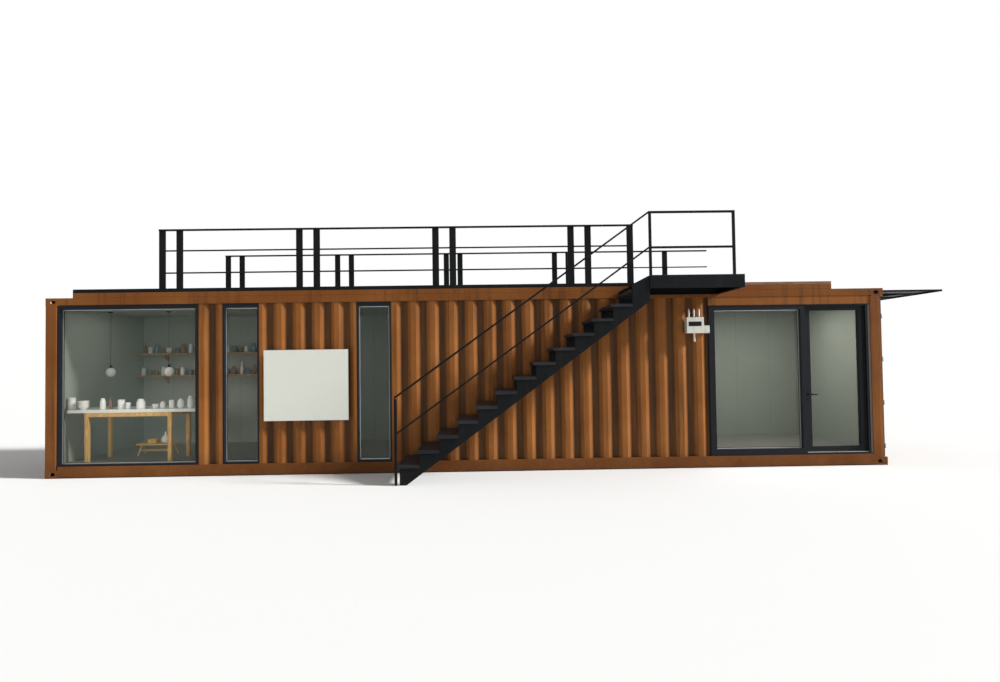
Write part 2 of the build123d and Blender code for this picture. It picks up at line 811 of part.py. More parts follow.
# Landing guard: two posts and two bars along the outer edge
guard_top = deck_top + guard_height
guard_right = landing_to - guard_right_inset
with BuildPart() as landing_guard:
    for x_from in (landing_from, guard_right - baluster):
        block(x_from, x_from + baluster, landing_front, landing_front + baluster,
              deck_top, guard_top - rail_bar)
    block(landing_from, guard_right, landing_front, landing_front + baluster, guard_top - rail_bar, guard_top)
    block(landing_from + baluster, guard_right - baluster, landing_front, landing_front + rail_bar,
          deck_top + guard_mid_height - rail_bar, deck_top + guard_mid_height)
landing_guard.part.label = "landing_guard"
export_step(landing_guard.part, "parts/landing_guard.step")

# Stair: two plates cut in steps, folded treads lying on them and a last tread between their heads
rise = (deck_top - first_rise) / (risers - 1)
going = (landing_left - stair_foot) / (risers - 1)
pitch = rise / going
nosings = [(left_end + stair_foot + step * going, first_rise + step * rise) for step in range(risers - 1)]
stair_inner = front_face - stair_wall_gap
stair_start = left_end + stair_foot - tread_plate


def stringer(y_from):
    """A plate with a stepped upper edge and a straight lower one, with a gusset up to the landing."""
    foot_to = left_end + stair_foot + (stringer_depth - first_rise) / pitch
    outline = [(nosings[0][0] + tread_nosing, 0)]
    for x, z in nosings[:-1]:
        outline.append((x + tread_nosing, z - tread_lip))
        outline.append((x + going + tread_nosing, z - tread_lip))
    outline.append((nosings[-1][0] + tread_nosing, nosings[-1][1] + head_gusset))
    outline.append((landing_from, plate_bottom))
    outline.append((landing_from, deck_top - stringer_depth))
    outline.append((foot_to, 0))
    with BuildSketch(Plane.XZ.offset(-y_from)) as profile:
        with BuildLine():
            Polyline(*outline, close=True)
        make_face()
    extrude(profile.sketch, amount=-stringer_plate)


def tread(x_from, x_to, y_from, y_to, z):
    """A pan of folded plate, open below, with its top at this height."""
    block(x_from, x_to, y_from, y_to, z - tread_lip, z)
    block(x_from + tread_plate, x_to - tread_plate, y_from + tread_plate, y_to - tread_plate,
          z - tread_lip, z - tread_plate, Mode.SUBTRACT)


with BuildPart() as stair_stringers:
    stringer(landing_front + tread_end_reach)
    stringer(stair_inner - tread_end_reach - stringer_plate)
stair_stringers.part.label = "stair_stringers"
export_step(stair_stringers.part, "parts/stair_stringers.step")

with BuildPart() as stair_treads:
    for x, z in nosings[:-1]:
        tread(x - tread_plate, x + going + tread_nosing, landing_front, stair_inner, z)
    between_plates = tread_end_reach + stringer_plate
    tread(nosings[-1][0] - tread_plate, landing_from, landing_front + between_plates,
          stair_inner - between_plates, nosings[-1][1])
stair_treads.part.label = "stair_treads"
export_step(stair_treads.part, "parts/stair_treads.step")

# Newel at the foot and the two sloping bars, nearly parallel, up to the landing post
newel_x = stair_start


def sloping_bar(x_from, z_from, x_to, z_to):
    """A bar with upright ends between two places given by its upper corners."""
    with BuildSketch(Plane.XZ.offset(-landing_front)) as profile:
        with BuildLine():
            Polyline((x_from, z_from), (x_to, z_to), (x_to, z_to - rail_bar),
                     (x_from, z_from - rail_bar), close=True)
        make_face()
    extrude(profile.sketch, amount=-rail_bar)


with BuildPart() as stair_railing:
    block(newel_x - baluster, newel_x, landing_front, landing_front + baluster, 0, newel_height - rail_bar)
    sloping_bar(newel_x - baluster, newel_height, landing_from, guard_top)
    sloping_bar(newel_x, newel_mid_height, landing_from, deck_top + guard_mid_height)
stair_railing.part.label = "stair_railing"
export_step(stair_railing.part, "parts/stair_railing.step")

# Blank board on two battens, screwed to the outer flats of the wall
with BuildPart() as board:
    block(left_end + board_left, left_end + board_right, sheet_outer - board_batten - board_plate,
          sheet_outer - board_batten, board_bottom, board_top)
board.part.label = "blank_board"
export_step(board.part, "parts/blank_board.step")

with BuildPart() as board_battens:
    for z_from in (board_bottom + board_batten_width, board_top - 2 * board_batten_width):
        block(left_end + board_left + board_batten_width, left_end + board_right - board_batten_width,
              sheet_outer - board_batten, sheet_outer, z_from, z_from + board_batten_width)
board_battens.part.label = "board_battens"
export_step(board_battens.part, "parts/board_battens.step")

# Electric box with a smaller box, insulators on top and a conduit stub below
box_from = left_end + box_left
box_front = sheet_outer - box_depth
box_bottom = height - box_top_drop - box_height
with BuildPart() as electric_box:
    block(box_from, box_from + box_width, box_front, sheet_outer, box_bottom, box_bottom + box_height)
    block(box_from + box_width, box_from + box_width + side_box_width, sheet_outer - side_box_depth,
          sheet_outer, box_bottom, box_bottom + side_box_height)
    for step in range(insulator_count):
        spot = box_from + box_width / 2 + (step - (insulator_count - 1) / 2) * insulator_pitch
        with BuildSketch(Plane.XY.offset(box_bottom + box_height)):
            with Locations((spot, sheet_outer - box_depth / 2)):
                Circle(insulator_radius)
        extrude(amount=insulator_height)
    with BuildSketch(Plane.XY.offset(box_bottom)):
        with Locations((box_from + box_width / 2, sheet_outer - box_depth / 2)):
            Circle(stub_radius)
    extrude(amount=-stub_drop)
electric_box.part.label = "electric_box"
export_step(electric_box.part, "parts/electric_box.step")

# Work table: a thick pale top on four legs with an apron between them
table_front = entrance_back + table_gap
table_back = table_front + table_depth
leg_spots = (left_end + table_leg_left, left_end + table_leg_right - table_leg)
with BuildPart() as table_top_board:
    block(left_end + blind_post_width + lining + table_left, left_end + table_right, table_front, table_back,
          table_top - table_plate, table_top)
table_top_board.part.label = "table_top"
export_step(table_top_board.part, "parts/table_top.step")

with BuildPart() as table_frame:
    leg_top = table_top - table_plate
    for x_from in leg_spots:
        for y_from in (table_front, table_back - table_leg):
            block(x_from, x_from + table_leg, y_from, y_from + table_leg, floor_top, leg_top)
    for y_from in (table_front, table_back - apron_plate):
        block(leg_spots[0], leg_spots[1] + table_leg, y_from, y_from + apron_plate,
              leg_top - apron_height, leg_top)
    for x_from in leg_spots:
        block(x_from, x_from + table_leg, table_front, table_back, leg_top - apron_height, leg_top)
table_frame.part.label = "table_frame"
export_step(table_frame.part, "parts/table_frame.step")

# Low stool
stool_from = left_end + stool_left
stool_y = front_face + stool_front
stool_seat = floor_top + stool_height
with BuildPart() as low_stool:
    block(stool_from, stool_from + stool_length, stool_y, stool_y + stool_depth,
          stool_seat - stool_top, stool_seat)
    for x_from in (stool_from + stool_leg, stool_from + stool_length - 2 * stool_leg):
        for y_from in (stool_y, stool_y + stool_depth - stool_leg):
            block(x_from, x_from + stool_leg, y_from, y_from + stool_leg, floor_top, stool_seat - stool_top)
low_stool.part.label = "low_stool"
export_step(low_stool.part, "parts/low_stool.step")

# Globe lamps on cords from the ceiling
with BuildPart() as pendant_lamps:
    for spot in lamp_spots:
        with Locations((left_end + spot, front_face + lamp_depth, globe_height)):
            Sphere(globe_radius)
        with BuildSketch(Plane.XY.offset(globe_height)):
            with Locations((left_end + spot, front_face + lamp_depth)):
                Circle(lamp_neck_radius)
        extrude(amount=globe_radius + lamp_neck)
        with BuildSketch(Plane.XY.offset(globe_height)):
            with Locations((left_end + spot, front_face + lamp_depth)):
                Circle(lamp_cord_radius)
        extrude(amount=ceiling_bottom - globe_height)
        with BuildSketch(Plane.XY.offset(ceiling_bottom)):
            with Locations((left_end + spot, front_face + lamp_depth)):
                Circle(lamp_rose_radius)
        extrude(amount=-lamp_rose_height)
pendant_lamps.part.label = "pendant_lamps"
export_step(pendant_lamps.part, "parts/pendant_lamps.step")

# Two shelves on the back lining, on plate brackets
shelf_back = -lining_inner
bracket_total = int((shelf_right - shelf_left) // shelf_bracket_pitch)
with BuildPart() as wall_shelves:
    for shelf_top in shelf_heights:
        block(left_end + shelf_left, left_end + shelf_right, shelf_back - shelf_depth, shelf_back,
              shelf_top - shelf_plate, shelf_top)
        for step in range(bracket_total):
            x_from = left_end + shelf_left + (step + 0.5) * shelf_bracket_pitch
            with BuildSketch(Plane.YZ.offset(x_from)):
                with BuildLine():
                    Polyline((shelf_back, shelf_top - shelf_plate),
                             (shelf_back - shelf_depth, shelf_top - shelf_plate),
                             (shelf_back, shelf_top - shelf_plate - shelf_bracket_height), close=True)
                make_face()
            extrude(amount=shelf_bracket_plate)
wall_shelves.part.label = "wall_shelves"
export_step(wall_shelves.part, "parts/wall_shelves.step")

# Lidded pots on the table and jars on the shelves
with BuildPart() as table_pots:
    for spot in table_pot_spots:
        with Locations((left_end + spot, table_front + 2 * pot_radius, table_top + pot_height / 2)):
            Cylinder(pot_radius, pot_height)
        with Locations((left_end + spot, table_front + 2 * pot_radius,
                        table_top + pot_height + pot_knob_height / 2)):
            Cylinder(pot_knob_radius, pot_knob_height)
table_pots.part.label = "table_pots"
export_step(table_pots.part, "parts/table_pots.step")

with BuildPart() as shelf_jars:
    for shelf_top in shelf_heights:
        for spot in shelf_jar_spots:
            with Locations((left_end + spot, shelf_back - shelf_depth / 2, shelf_top + jar_height / 2)):
                Cylinder(jar_radius, jar_height)
shelf_jars.part.label = "shelf_jars"
export_step(shelf_jars.part, "parts/shelf_jars.step")
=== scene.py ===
import math
import random

import bmesh
import bpy
from mathutils import Matrix, Vector


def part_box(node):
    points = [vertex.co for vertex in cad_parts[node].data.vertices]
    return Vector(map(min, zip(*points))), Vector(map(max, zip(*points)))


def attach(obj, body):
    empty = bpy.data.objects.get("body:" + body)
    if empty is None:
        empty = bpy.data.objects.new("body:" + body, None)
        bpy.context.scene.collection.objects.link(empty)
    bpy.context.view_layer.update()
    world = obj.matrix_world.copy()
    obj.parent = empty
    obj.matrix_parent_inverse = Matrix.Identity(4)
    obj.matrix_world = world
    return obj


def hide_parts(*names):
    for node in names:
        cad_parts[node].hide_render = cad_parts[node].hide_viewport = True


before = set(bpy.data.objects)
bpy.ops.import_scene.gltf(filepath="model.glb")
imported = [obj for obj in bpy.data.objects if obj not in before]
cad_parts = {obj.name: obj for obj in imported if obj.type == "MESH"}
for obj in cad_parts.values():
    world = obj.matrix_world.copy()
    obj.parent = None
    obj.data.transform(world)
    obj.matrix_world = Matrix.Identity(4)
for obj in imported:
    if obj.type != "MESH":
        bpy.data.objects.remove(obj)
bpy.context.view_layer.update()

random.seed(7)


# ---- Steel box of the container
# Corner castings, posts, rails, sills and headers: rolled and folded steel, welded at the castings
# and sprayed brown with marine paint. The paint has faded in patches and holds streaks of dirt.
box_length = 12.192
box_width = 2.438
box_height = 2.591
left_edge = -box_length / 2
casting_length = 0.178
casting_height = 0.118
post_inner_left = -5.938
post_inner_right = 5.896
post_outer_right = 6.010
rail_underside = 0.016


def colour(red, green, blue):
    """A colour as a shader reads it, from the values 0 to 255 that a screen shows."""
    return tuple((c / 255 / 12.92) if c < 11 else ((c / 255 + 0.055) / 1.055) ** 2.4
                 for c in (red, green, blue)) + (1.0,)


def add(tree, kind, inputs=None, **settings):
    """Adds one node with its settings. An input is a plain value or another node's output."""
    item = tree.nodes.new(kind)
    for name, value in settings.items():
        setattr(item, name, value)
    for key, value in (inputs or {}).items():
        if isinstance(value, bpy.types.NodeSocket):
            tree.links.new(value, item.inputs[key])
        else:
            item.inputs[key].default_value = value
    return item


def worked(tree, operation, *values):
    """The result of one piece of arithmetic on values."""
    return add(tree, "ShaderNodeMath", dict(enumerate(values)), operation=operation).outputs[0]


def own_place(tree):
    """The place of a point on its piece, in metres."""
    return add(tree, "ShaderNodeTexCoord").outputs["Object"]


def parts_of(tree, vector):
    """The three parts of a place or a direction."""
    return add(tree, "ShaderNodeSeparateXYZ", {0: vector}).outputs


def blend(tree, factor, first, second):
    """A mix of two colours by a mask. A mix node keeps its colours at inputs 6 and 7 and output 2."""
    return add(tree, "ShaderNodeMix", {0: factor, 6: first, 7: second}, data_type="RGBA").outputs[2]


def remap(tree, value, low, high, to_low=0.0, to_high=1.0):
    """A value between two limits, spread over two others and clamped there."""
    return add(tree, "ShaderNodeMapRange", {0: value, 1: low, 2: high, 3: to_low, 4: to_high}).outputs[0]


def noise(tree, place, scale, detail=4.0, rough=0.55):
    """Cloudy noise at a place, as a value."""
    return add(tree, "ShaderNodeTexNoise", {"Vector": place, "Scale": scale, "Detail": detail,
                                            "Roughness": rough}).outputs[0]


def stretched(tree, place, scale):
    """A place with its axes scaled, for patterns that run one way."""
    return add(tree, "ShaderNodeMapping", {"Vector": place, "Scale": scale}).outputs[0]


def effect(name, inputs, outputs):
    """An empty node group with its named sockets. Returns the group and its two end nodes."""
    tree = bpy.data.node_groups.new(name, "ShaderNodeTree")
    for way, sockets in (("INPUT", inputs), ("OUTPUT", outputs)):
        for label, kind in sockets.items():
            tree.interface.new_socket(name=label, in_out=way, socket_type="NodeSocket" + kind)
    return tree, tree.nodes.new("NodeGroupInput"), tree.nodes.new("NodeGroupOutput")


def hand_out(tree, put, **values):
    """Leads values to the sockets that a group puts out."""
    for name, value in values.items():
        tree.links.new(value, put.inputs[name])


# Faded patches, streaks that run down, a belt of splashed dirt near the ground and small chips.
splash_height = 0.42
wear, given, put = effect(
    "weathered_paint",
    {"Paint": "Color", "Faded": "Color", "Dirt": "Color", "Chips": "Color", "Streaks": "Float",
     "Chipping": "Float"},
    {"Colour": "Color", "Roughness": "Float", "Height": "Float"})
place = own_place(wear)
patches = remap(wear, noise(wear, place, scale=1.1, detail=6.0, rough=0.62), 0.40, 0.66)
drawn_out = stretched(wear, place, (11.0, 11.0, 0.55))
runs = remap(wear, noise(wear, drawn_out, scale=1.0, detail=5.0), 0.52, 0.74)
runs = worked(wear, "MULTIPLY", runs, given.outputs["Streaks"])
height_above_ground = parts_of(wear, place)[2]
splash = remap(wear, height_above_ground, 0.0, splash_height, 0.75, 0.0)
splash = worked(wear, "MULTIPLY", splash, noise(wear, place, scale=9.0, detail=5.0))
dirt = worked(wear, "MAXIMUM", runs, splash)
chips = remap(wear, noise(wear, place, scale=26.0, detail=8.0, rough=0.7), 0.66, 0.70)
chips = worked(wear, "MULTIPLY", chips, given.outputs["Chipping"])
coat = blend(wear, patches, given.outputs["Paint"], given.outputs["Faded"])
coat = blend(wear, dirt, coat, given.outputs["Dirt"])
coat = blend(wear, chips, coat, given.outputs["Chips"])
dull = worked(wear, "MAXIMUM", dirt, chips)
dull = remap(wear, dull, 0.0, 1.0, 0.42, 0.82)
skin = worked(wear, "SUBTRACT", noise(wear, place, scale=55.0, detail=3.0), chips)
hand_out(wear, put, Colour=coat, Roughness=dull, Height=skin)


def shade(name, plain, roughness=0.5, metallic=0.0, **more):
    """A material with one Principled shader. Returns the material, its node tree and the shader."""
    material = bpy.data.materials.new(name)
    material.use_nodes = True
    shader = material.node_tree.nodes["Principled BSDF"]
    shader.inputs["Base Color"].default_value = plain
    shader.inputs["Roughness"].default_value = roughness
    shader.inputs["Metallic"].default_value = metallic
    for key, value in more.items():
        shader.inputs[key.replace("_", " ")].default_value = value
    material.diffuse_color = plain
    return material, material.node_tree, shader


def emboss(tree, shader, strength, depth, height, **settings):
    """Gives a surface the fine relief of a height."""
    relief = add(tree, "ShaderNodeBump", {"Strength": strength, "Distance": depth, "Height": height},
                 **settings)
    tree.links.new(relief.outputs[0], shader.inputs["Normal"])


def feed(tree, shader, source, bump, depth=0.002):
    """Leads a group's colour, roughness and height to a shader."""
    if "Colour" in source.outputs:
        tree.links.new(source.outputs["Colour"], shader.inputs["Base Color"])
    if "Roughness" in source.outputs:
        tree.links.new(source.outputs["Roughness"], shader.inputs["Roughness"])
    emboss(tree, shader, bump, depth, source.outputs["Height"])


def weathered(name, bump=0.2, gloss=0.1, **looks):
    """Sprayed paint that has been outdoors. Returns the material, its node tree, shader and effect."""
    material, tree, shader = shade(name, looks["Paint"], Specular_IOR_Level=gloss)
    group = add(tree, "ShaderNodeGroup", node_tree=wear)
    for key, value in looks.items():
        group.inputs[key].default_value = value
    feed(tree, shader, group, bump)
    return material, tree, shader, group


def dress(material, *names, edges=None):
    """Gives CAD pieces their finish, and edges as round as rolling, folding or sanding leaves them."""
    for name in names:
        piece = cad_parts[name]
        for place_for_finish in piece.material_slots:
            place_for_finish.material = material
        if not edges:
            continue
        weld = piece.modifiers.new("join", "WELD")
        weld.merge_threshold = 0.00002
        round_edge = piece.modifiers.new("edges", "BEVEL")
        round_edge.width = edges
        round_edge.segments = 2
        round_edge.limit_method = "ANGLE"
        round_edge.angle_limit = math.radians(40)


brown_paint = weathered("brown_container_paint", Paint=colour(110, 64, 27), Faded=colour(124, 76, 35),
                        Dirt=colour(46, 33, 24), Chips=colour(70, 38, 24), Streaks=0.5, Chipping=0.7)[0]
dress(brown_paint, "corner_castings", edges=0.004)
dress(brown_paint, "corner_posts", "bottom_side_rails", "top_side_rails", "end_members", edges=0.006)


def block(mesh, corner, opposite, round_by=0.0, steps=2):
    """A block between two opposite corners in a mesh that is being built, its edges rounded if asked."""
    corner, opposite = Vector(corner), Vector(opposite)
    size = [abs(part) for part in opposite - corner]
    made = bmesh.ops.create_cube(mesh, size=1.0, matrix=Matrix.Translation((corner + opposite) / 2)
                                 @ Matrix.Diagonal((*size, 1.0)))
    if round_by:
        edges = list(dict.fromkeys(edge for vertex in made["verts"] for edge in vertex.link_edges))
        bmesh.ops.bevel(mesh, geom=edges, offset=round_by, segments=steps, profile=0.5, affect="EDGES",
                        material=-1)


def rod(mesh, start, end, radius, sides, end_radius=None):
    """A round bar or a cone between two points."""
    start, end = Vector(start), Vector(end)
    turn = (end - start).to_track_quat("Z", "Y").to_matrix().to_4x4()
    bmesh.ops.create_cone(mesh, cap_ends=True, segments=sides, radius1=radius,
                          radius2=radius if end_radius is None else end_radius, depth=(end - start).length,
                          matrix=Matrix.Translation((start + end) / 2) @ turn)


def show(name, data):
    """A new object in the scene with this data."""
    piece = bpy.data.objects.new(name, data)
    bpy.context.scene.collection.objects.link(piece)
    return piece


def show_mesh(mesh, name, material):
    """A built mesh as an object with its finish."""
    data = bpy.data.meshes.new(name)
    mesh.to_mesh(data)
    mesh.free()
    data.materials.append(material)
    return show(name, data)


def place_piece(mesh, name, material, body="cabin", smooth=False):
    """Turns a built mesh into a piece that takes its finish from a slot and rides on a body."""
    bmesh.ops.recalc_face_normals(mesh, faces=mesh.faces)
    piece = show_mesh(mesh, name, material)
    if smooth:
        piece.data.shade_smooth()
    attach(piece, body)
    return piece


# The welds that join posts, rails and castings: round beads laid along each joint.
bead_radius = 0.0042
bead_inset = 0.0045
beads = bmesh.new()
for side in (-1, 1):
    across = side * (box_width / 2 - bead_inset)
    for near, far in ((left_edge + 0.002, post_inner_left), (post_inner_right, post_outer_right)):
        for level in (casting_height, box_height - casting_height):
            rod(beads, (near, across, level), (far, across, level), bead_radius, 6)
    for along in (left_edge + casting_length, post_inner_right):
        rod(beads, (along, across, rail_underside), (along, across, casting_height), bead_radius, 6)
place_piece(beads, "frame_welds", brown_paint)


# ---- Corrugated walls, roof and the plate over the entrance
# Two millimetre steel sheet pressed into flutes and welded between the rails. Each wall is made of
# narrower sheets, so an upright weld shows on a flat every metre or so.
doors_face = 6.070
flat_depth = 0.026
flute_depth = 0.041
first_seam = -4.974
seam_pitch = 1.112
seam_face = 1.2105
seam_low, seam_high = 0.17, 2.485
seam_radius = 0.003
wall_paint, tree, shader, coat = weathered(
    "brown_wall_paint", Paint=colour(124, 75, 34), Faded=colour(140, 89, 44), Dirt=colour(56, 40, 26),
    Chips=colour(82, 46, 28), Streaks=0.6, Chipping=0.45, bump=0.3)
# Painted shade: the flute bottoms are painted darker than the outer flats, in streaks, for the shade that
# falls in the flutes.
place = own_place(tree)
along, across = parts_of(tree, place)[:2]
across = worked(tree, "ABSOLUTE", across)
behind_side = worked(tree, "SUBTRACT", box_width / 2, across)
behind_end = worked(tree, "ADD", along, -left_edge)
behind_doors = worked(tree, "SUBTRACT", doors_face, along)
deep = worked(tree, "MINIMUM", behind_side, behind_end)
deep = worked(tree, "MINIMUM", deep, behind_doors)
streaky = remap(tree, noise(tree, stretched(tree, place, (14.0, 14.0, 0.8)), scale=1.0), 0.3, 0.7, 0.55, 0.95)
flute_shade = worked(tree, "MULTIPLY", remap(tree, deep, flat_depth, flute_depth), streaky)
# The flute bottoms are blended towards a dark brown, which is painted shade.
tree.links.new(blend(tree, flute_shade, coat.outputs["Colour"], colour(52, 37, 23)), shader.inputs["Base Color"])

roof_paint = weathered("brown_roof_paint", Paint=colour(106, 66, 36), Faded=colour(124, 84, 54),
                       Dirt=colour(56, 46, 38), Chips=colour(84, 48, 30), Streaks=0.35, Chipping=0.9,
                       bump=0.3, gloss=0.15)[0]
dress(wall_paint, "front_wall", "back_wall", "blind_end_wall")
dress(wall_paint, "front_wall_trims", edges=0.0008)
dress(roof_paint, "roof_sheet")
seams = bmesh.new()
for step in range(10):
    along = first_seam + seam_pitch * step
    # The front has whole sheets only between the second narrow window and the entrance.
    for across in (seam_face, -seam_face) if along > -1.0 and step < 8 else (seam_face,):
        rod(seams, (along, across, seam_low), (along, across, seam_high), seam_radius, 6)
place_piece(seams, "sheet_seams", wall_paint)

# A narrow strip, welded in, closes the step between the last sheet and the plate over the entrance.
strip_width = 0.0020
strip_depth = 0.0360
plate_low, plate_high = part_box("front_wall_trims")
strip_right = plate_low.x - 0.0002
strip_front = plate_low.y + 0.0006
strip = bmesh.new()
block(strip, (strip_right - strip_width, strip_front, plate_low.z - 0.004),
      (strip_right, strip_front + strip_depth, plate_high.z - 0.001), 0.0004)
place_piece(strip, "entrance_closing_strip", wall_paint)


# ---- Floor, bearers and inner lining
# Plywood floor boards screwed to steel channels that were dipped in black paint. Inside, painted
# boards with narrow joints cover the walls and the ceiling.
plywood_width = 0.61
lining_width = 0.6
black_paint = weathered("black_steel_paint", Paint=colour(12, 14, 16), Faded=colour(19, 21, 23),
                        Dirt=colour(36, 34, 31), Chips=colour(52, 38, 30), Streaks=0.3, Chipping=0.2,
                        gloss=0.08)[0]
dress(black_paint, "floor_bearers")

grain, given, put = effect(
    "timber_grain",
    {"Vector": "Vector", "Pale": "Color", "Dark": "Color"},
    {"Colour": "Color", "Roughness": "Float", "Height": "Float"})
fibres = add(grain, "ShaderNodeTexWave",
             {"Vector": given.outputs["Vector"], "Scale": 9.0, "Distortion": 7.0, "Detail": 4.0,
              "Detail Scale": 1.6}, wave_type="BANDS", bands_direction="Y").outputs[1]
pores = noise(grain, given.outputs["Vector"], scale=60.0, detail=3.0)
mixed = worked(grain, "MULTIPLY", fibres, pores)
wood = blend(grain, remap(grain, mixed, 0.12, 0.62), given.outputs["Dark"], given.outputs["Pale"])
hand_out(grain, put, Colour=wood, Roughness=remap(grain, pores, 0.3, 0.7, 0.62, 0.42), Height=mixed)


def timber(name, pale, dark, stretch, bump, board=None):
    """Wood with its grain along the axis that is stretched least. A board width shades each board apart."""
    material, tree, shader = shade(name, pale)
    place = own_place(tree)
    group = add(tree, "ShaderNodeGroup", {"Vector": stretched(tree, place, stretch)}, node_tree=grain)
    group.inputs["Pale"].default_value = pale
    group.inputs["Dark"].default_value = dark
    feed(tree, shader, group, bump)
    if board:
        number = worked(tree, "DIVIDE", parts_of(tree, place)[1], board)
        number = worked(tree, "FLOOR", number)
        chance = add(tree, "ShaderNodeTexWhiteNoise", {"W": number}, noise_dimensions="1D").outputs[0]
        tone = blend(tree, remap(tree, chance, 0.0, 1.0, 0.0, 0.45), group.outputs["Colour"], dark)
        tree.links.new(tone, shader.inputs["Base Color"])
    return material


plywood = timber("floor_plywood", pale=colour(158, 155, 146), dark=colour(122, 118, 108),
                 stretch=(0.5, 6.0, 6.0), bump=0.12, board=plywood_width)
dress(plywood, "floor_boards")

lining_colour = colour(164, 168, 154)
lining_paint, tree, shader = shade("white_lining_paint", lining_colour, roughness=0.6)
place = own_place(tree)
share = worked(tree, "DIVIDE", parts_of(tree, place)[0], lining_width)
share = worked(tree, "FRACT", share)
joint = worked(tree, "SUBTRACT", share, 0.5)
joint = worked(tree, "ABSOLUTE", joint)
joint = remap(tree, joint, 0.494, 0.5)
cloudy = remap(tree, noise(tree, place, scale=2.0), 0.3, 0.7, 0.0, 0.25)
tone = blend(tree, cloudy, lining_colour, colour(146, 149, 135))
tree.links.new(blend(tree, joint, tone, colour(120, 116, 106)), shader.inputs["Base Color"])
emboss(tree, shader, 0.5, 0.002, joint, invert=True)
dress(lining_paint, "wall_linings", "end_linings", "ceiling")


# ---- Windows and the fixed light
# Aluminium frames powder coated nearly black, with a pale inner bead and a black rubber gasket that
# hold each pane. The panes are clear float glass, slightly green at the edge.

# Each window's left and right edge, and the width of its frame.
windows = (((-5.938, -3.916), 0.042), ((-3.568, -3.038), 0.028), ((-1.632, -1.131), 0.028))
entrance = (3.509, 5.894)
window_top = 2.425
entrance_left_stile = 0.090
mullion_left = 4.867
light_bottom, light_top = 0.2605, 2.295
bead_width = 0.013
glass_gap = 0.0005
nose_front, nose_back = -1.2165, -1.2088
sill_nose = (0.1675, 0.1795)
window_drip = (2.470, 2.486)
entrance_drip = (2.352, 2.366)

fine, given, put = effect("fine_grain", {"Scale": "Float", "Smooth": "Float", "Rough": "Float"},
                          {"Roughness": "Float", "Height": "Float"})
place = own_place(fine)
speckle = add(fine, "ShaderNodeTexNoise",
              {"Vector": place, "Scale": given.outputs["Scale"], "Detail": 3.0}).outputs[0]
smears = noise(fine, place, scale=3.0, detail=5.0)
spread = remap(fine, smears, 0.35, 0.65, given.outputs["Smooth"], given.outputs["Rough"])
hand_out(fine, put, Roughness=spread, Height=speckle)


def fine_finish(name, plain, smooth, rough, bump, scale=300.0, **more):
    """A plain coat or metal with a fine skin and faint smears in its gloss."""
    material, tree, shader = shade(name, plain, **more)
    group = add(tree, "ShaderNodeGroup", {"Scale": scale, "Smooth": smooth, "Rough": rough}, node_tree=fine)
    feed(tree, shader, group, bump, 0.0006)
    return material


dark_coating = fine_finish("dark_powder_coating", colour(18, 21, 25), 0.36, 0.52, bump=0.2, scale=420.0,
                           Specular_IOR_Level=0.15)
pale_aluminium = fine_finish("pale_aluminium", colour(176, 179, 178), 0.3, 0.42, metallic=0.85, bump=0.06)
rubber = fine_finish("black_rubber", colour(22, 22, 23), 0.6, 0.8, bump=0.3, scale=180.0)
clear_glass, tree, shader = shade("clear_glass", colour(70, 88, 84), roughness=0.02, IOR=1.5)
# The far face of a pane is met from inside the glass, so its index is turned round there.
glass_index = 1.55
behind = add(tree, "ShaderNodeNewGeometry").outputs["Backfacing"]
index = remap(tree, behind, 0.0, 1.0, glass_index, 1.0 / glass_index)
edge_on = add(tree, "ShaderNodeFresnel", {"IOR": index}).outputs[0]
tree.links.new(remap(tree, edge_on, 0.0, 1.0, 0.10, 1.0), shader.inputs["Alpha"])
dress(dark_coating, "window_frames", "entrance_frame", edges=0.0025)
dress(clear_glass, "window_panes", "entrance_door_pane")


def bars(left, right, bottom, top, width):
    """The four bars that run inside a rectangle, each as a corner and the opposite one."""
    return (((left, bottom), (left + width, top)), ((right - width, bottom), (right, top)),
            ((left + width, bottom), (right - width, bottom + width)),
            ((left + width, top - width), (right - width, top)))


def ring(mesh, left, right, bottom, top, width, front, back, round_by=0.0, inset=0.0):
    """Bars inside an upright rectangle, or inside one that is smaller all round by an inset."""
    for (x, z), (to_x, to_z) in bars(left + inset, right - inset, bottom + inset, top - inset, width):
        block(mesh, (x, front, z), (to_x, back, to_z), round_by)


pane_front, pane_back = (corner.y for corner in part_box("window_panes"))
floor_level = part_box("floor_boards")[1].z
frame_low, frame_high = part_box("entrance_frame")
openings = [(left + width, right - width, floor_level, window_top) for (left, right), width in windows]
openings.append((frame_low.x + entrance_left_stile, mullion_left, light_bottom, light_top))
gaskets = bmesh.new()
pale_beads = bmesh.new()
for opening in openings:
    ring(pale_beads, *opening, bead_width, pane_front - 0.016, pane_front - glass_gap, 0.0015)
    ring(gaskets, *opening, 0.006, pane_front - 0.009, pane_front - glass_gap, 0.001, inset=bead_width)
    ring(gaskets, *opening, 0.009, pane_back + glass_gap, pane_back + 0.010, 0.001)
place_piece(pale_beads, "glazing_beads", pale_aluminium)
place_piece(gaskets, "window_gaskets", rubber)

# Sill noses and drip strips keep the rain off the frames.
noses = bmesh.new()
for (left, right), drip in [(edges, window_drip) for edges, width in windows] + [(entrance, entrance_drip)]:
    for bottom, top in (sill_nose, drip):
        block(noses, (left + 0.002, nose_front, bottom), (right - 0.002, nose_back, top), 0.002)
place_piece(noses, "frame_drip_strips", dark_coating)

# A strip of packing closes the joint between the entrance frame and the corner post.
packing = fine_finish("grey_packing", colour(88, 79, 72), 0.6, 0.8, bump=0.25, scale=150.0)
strip = bmesh.new()
block(strip, (frame_high.x - 0.030, nose_front + 0.004, sill_nose[0] + 0.014),
      (frame_high.x - 0.001, nose_back + 0.0002, entrance_drip[0]), 0.0012)
place_piece(strip, "jamb_packing_strip", packing)


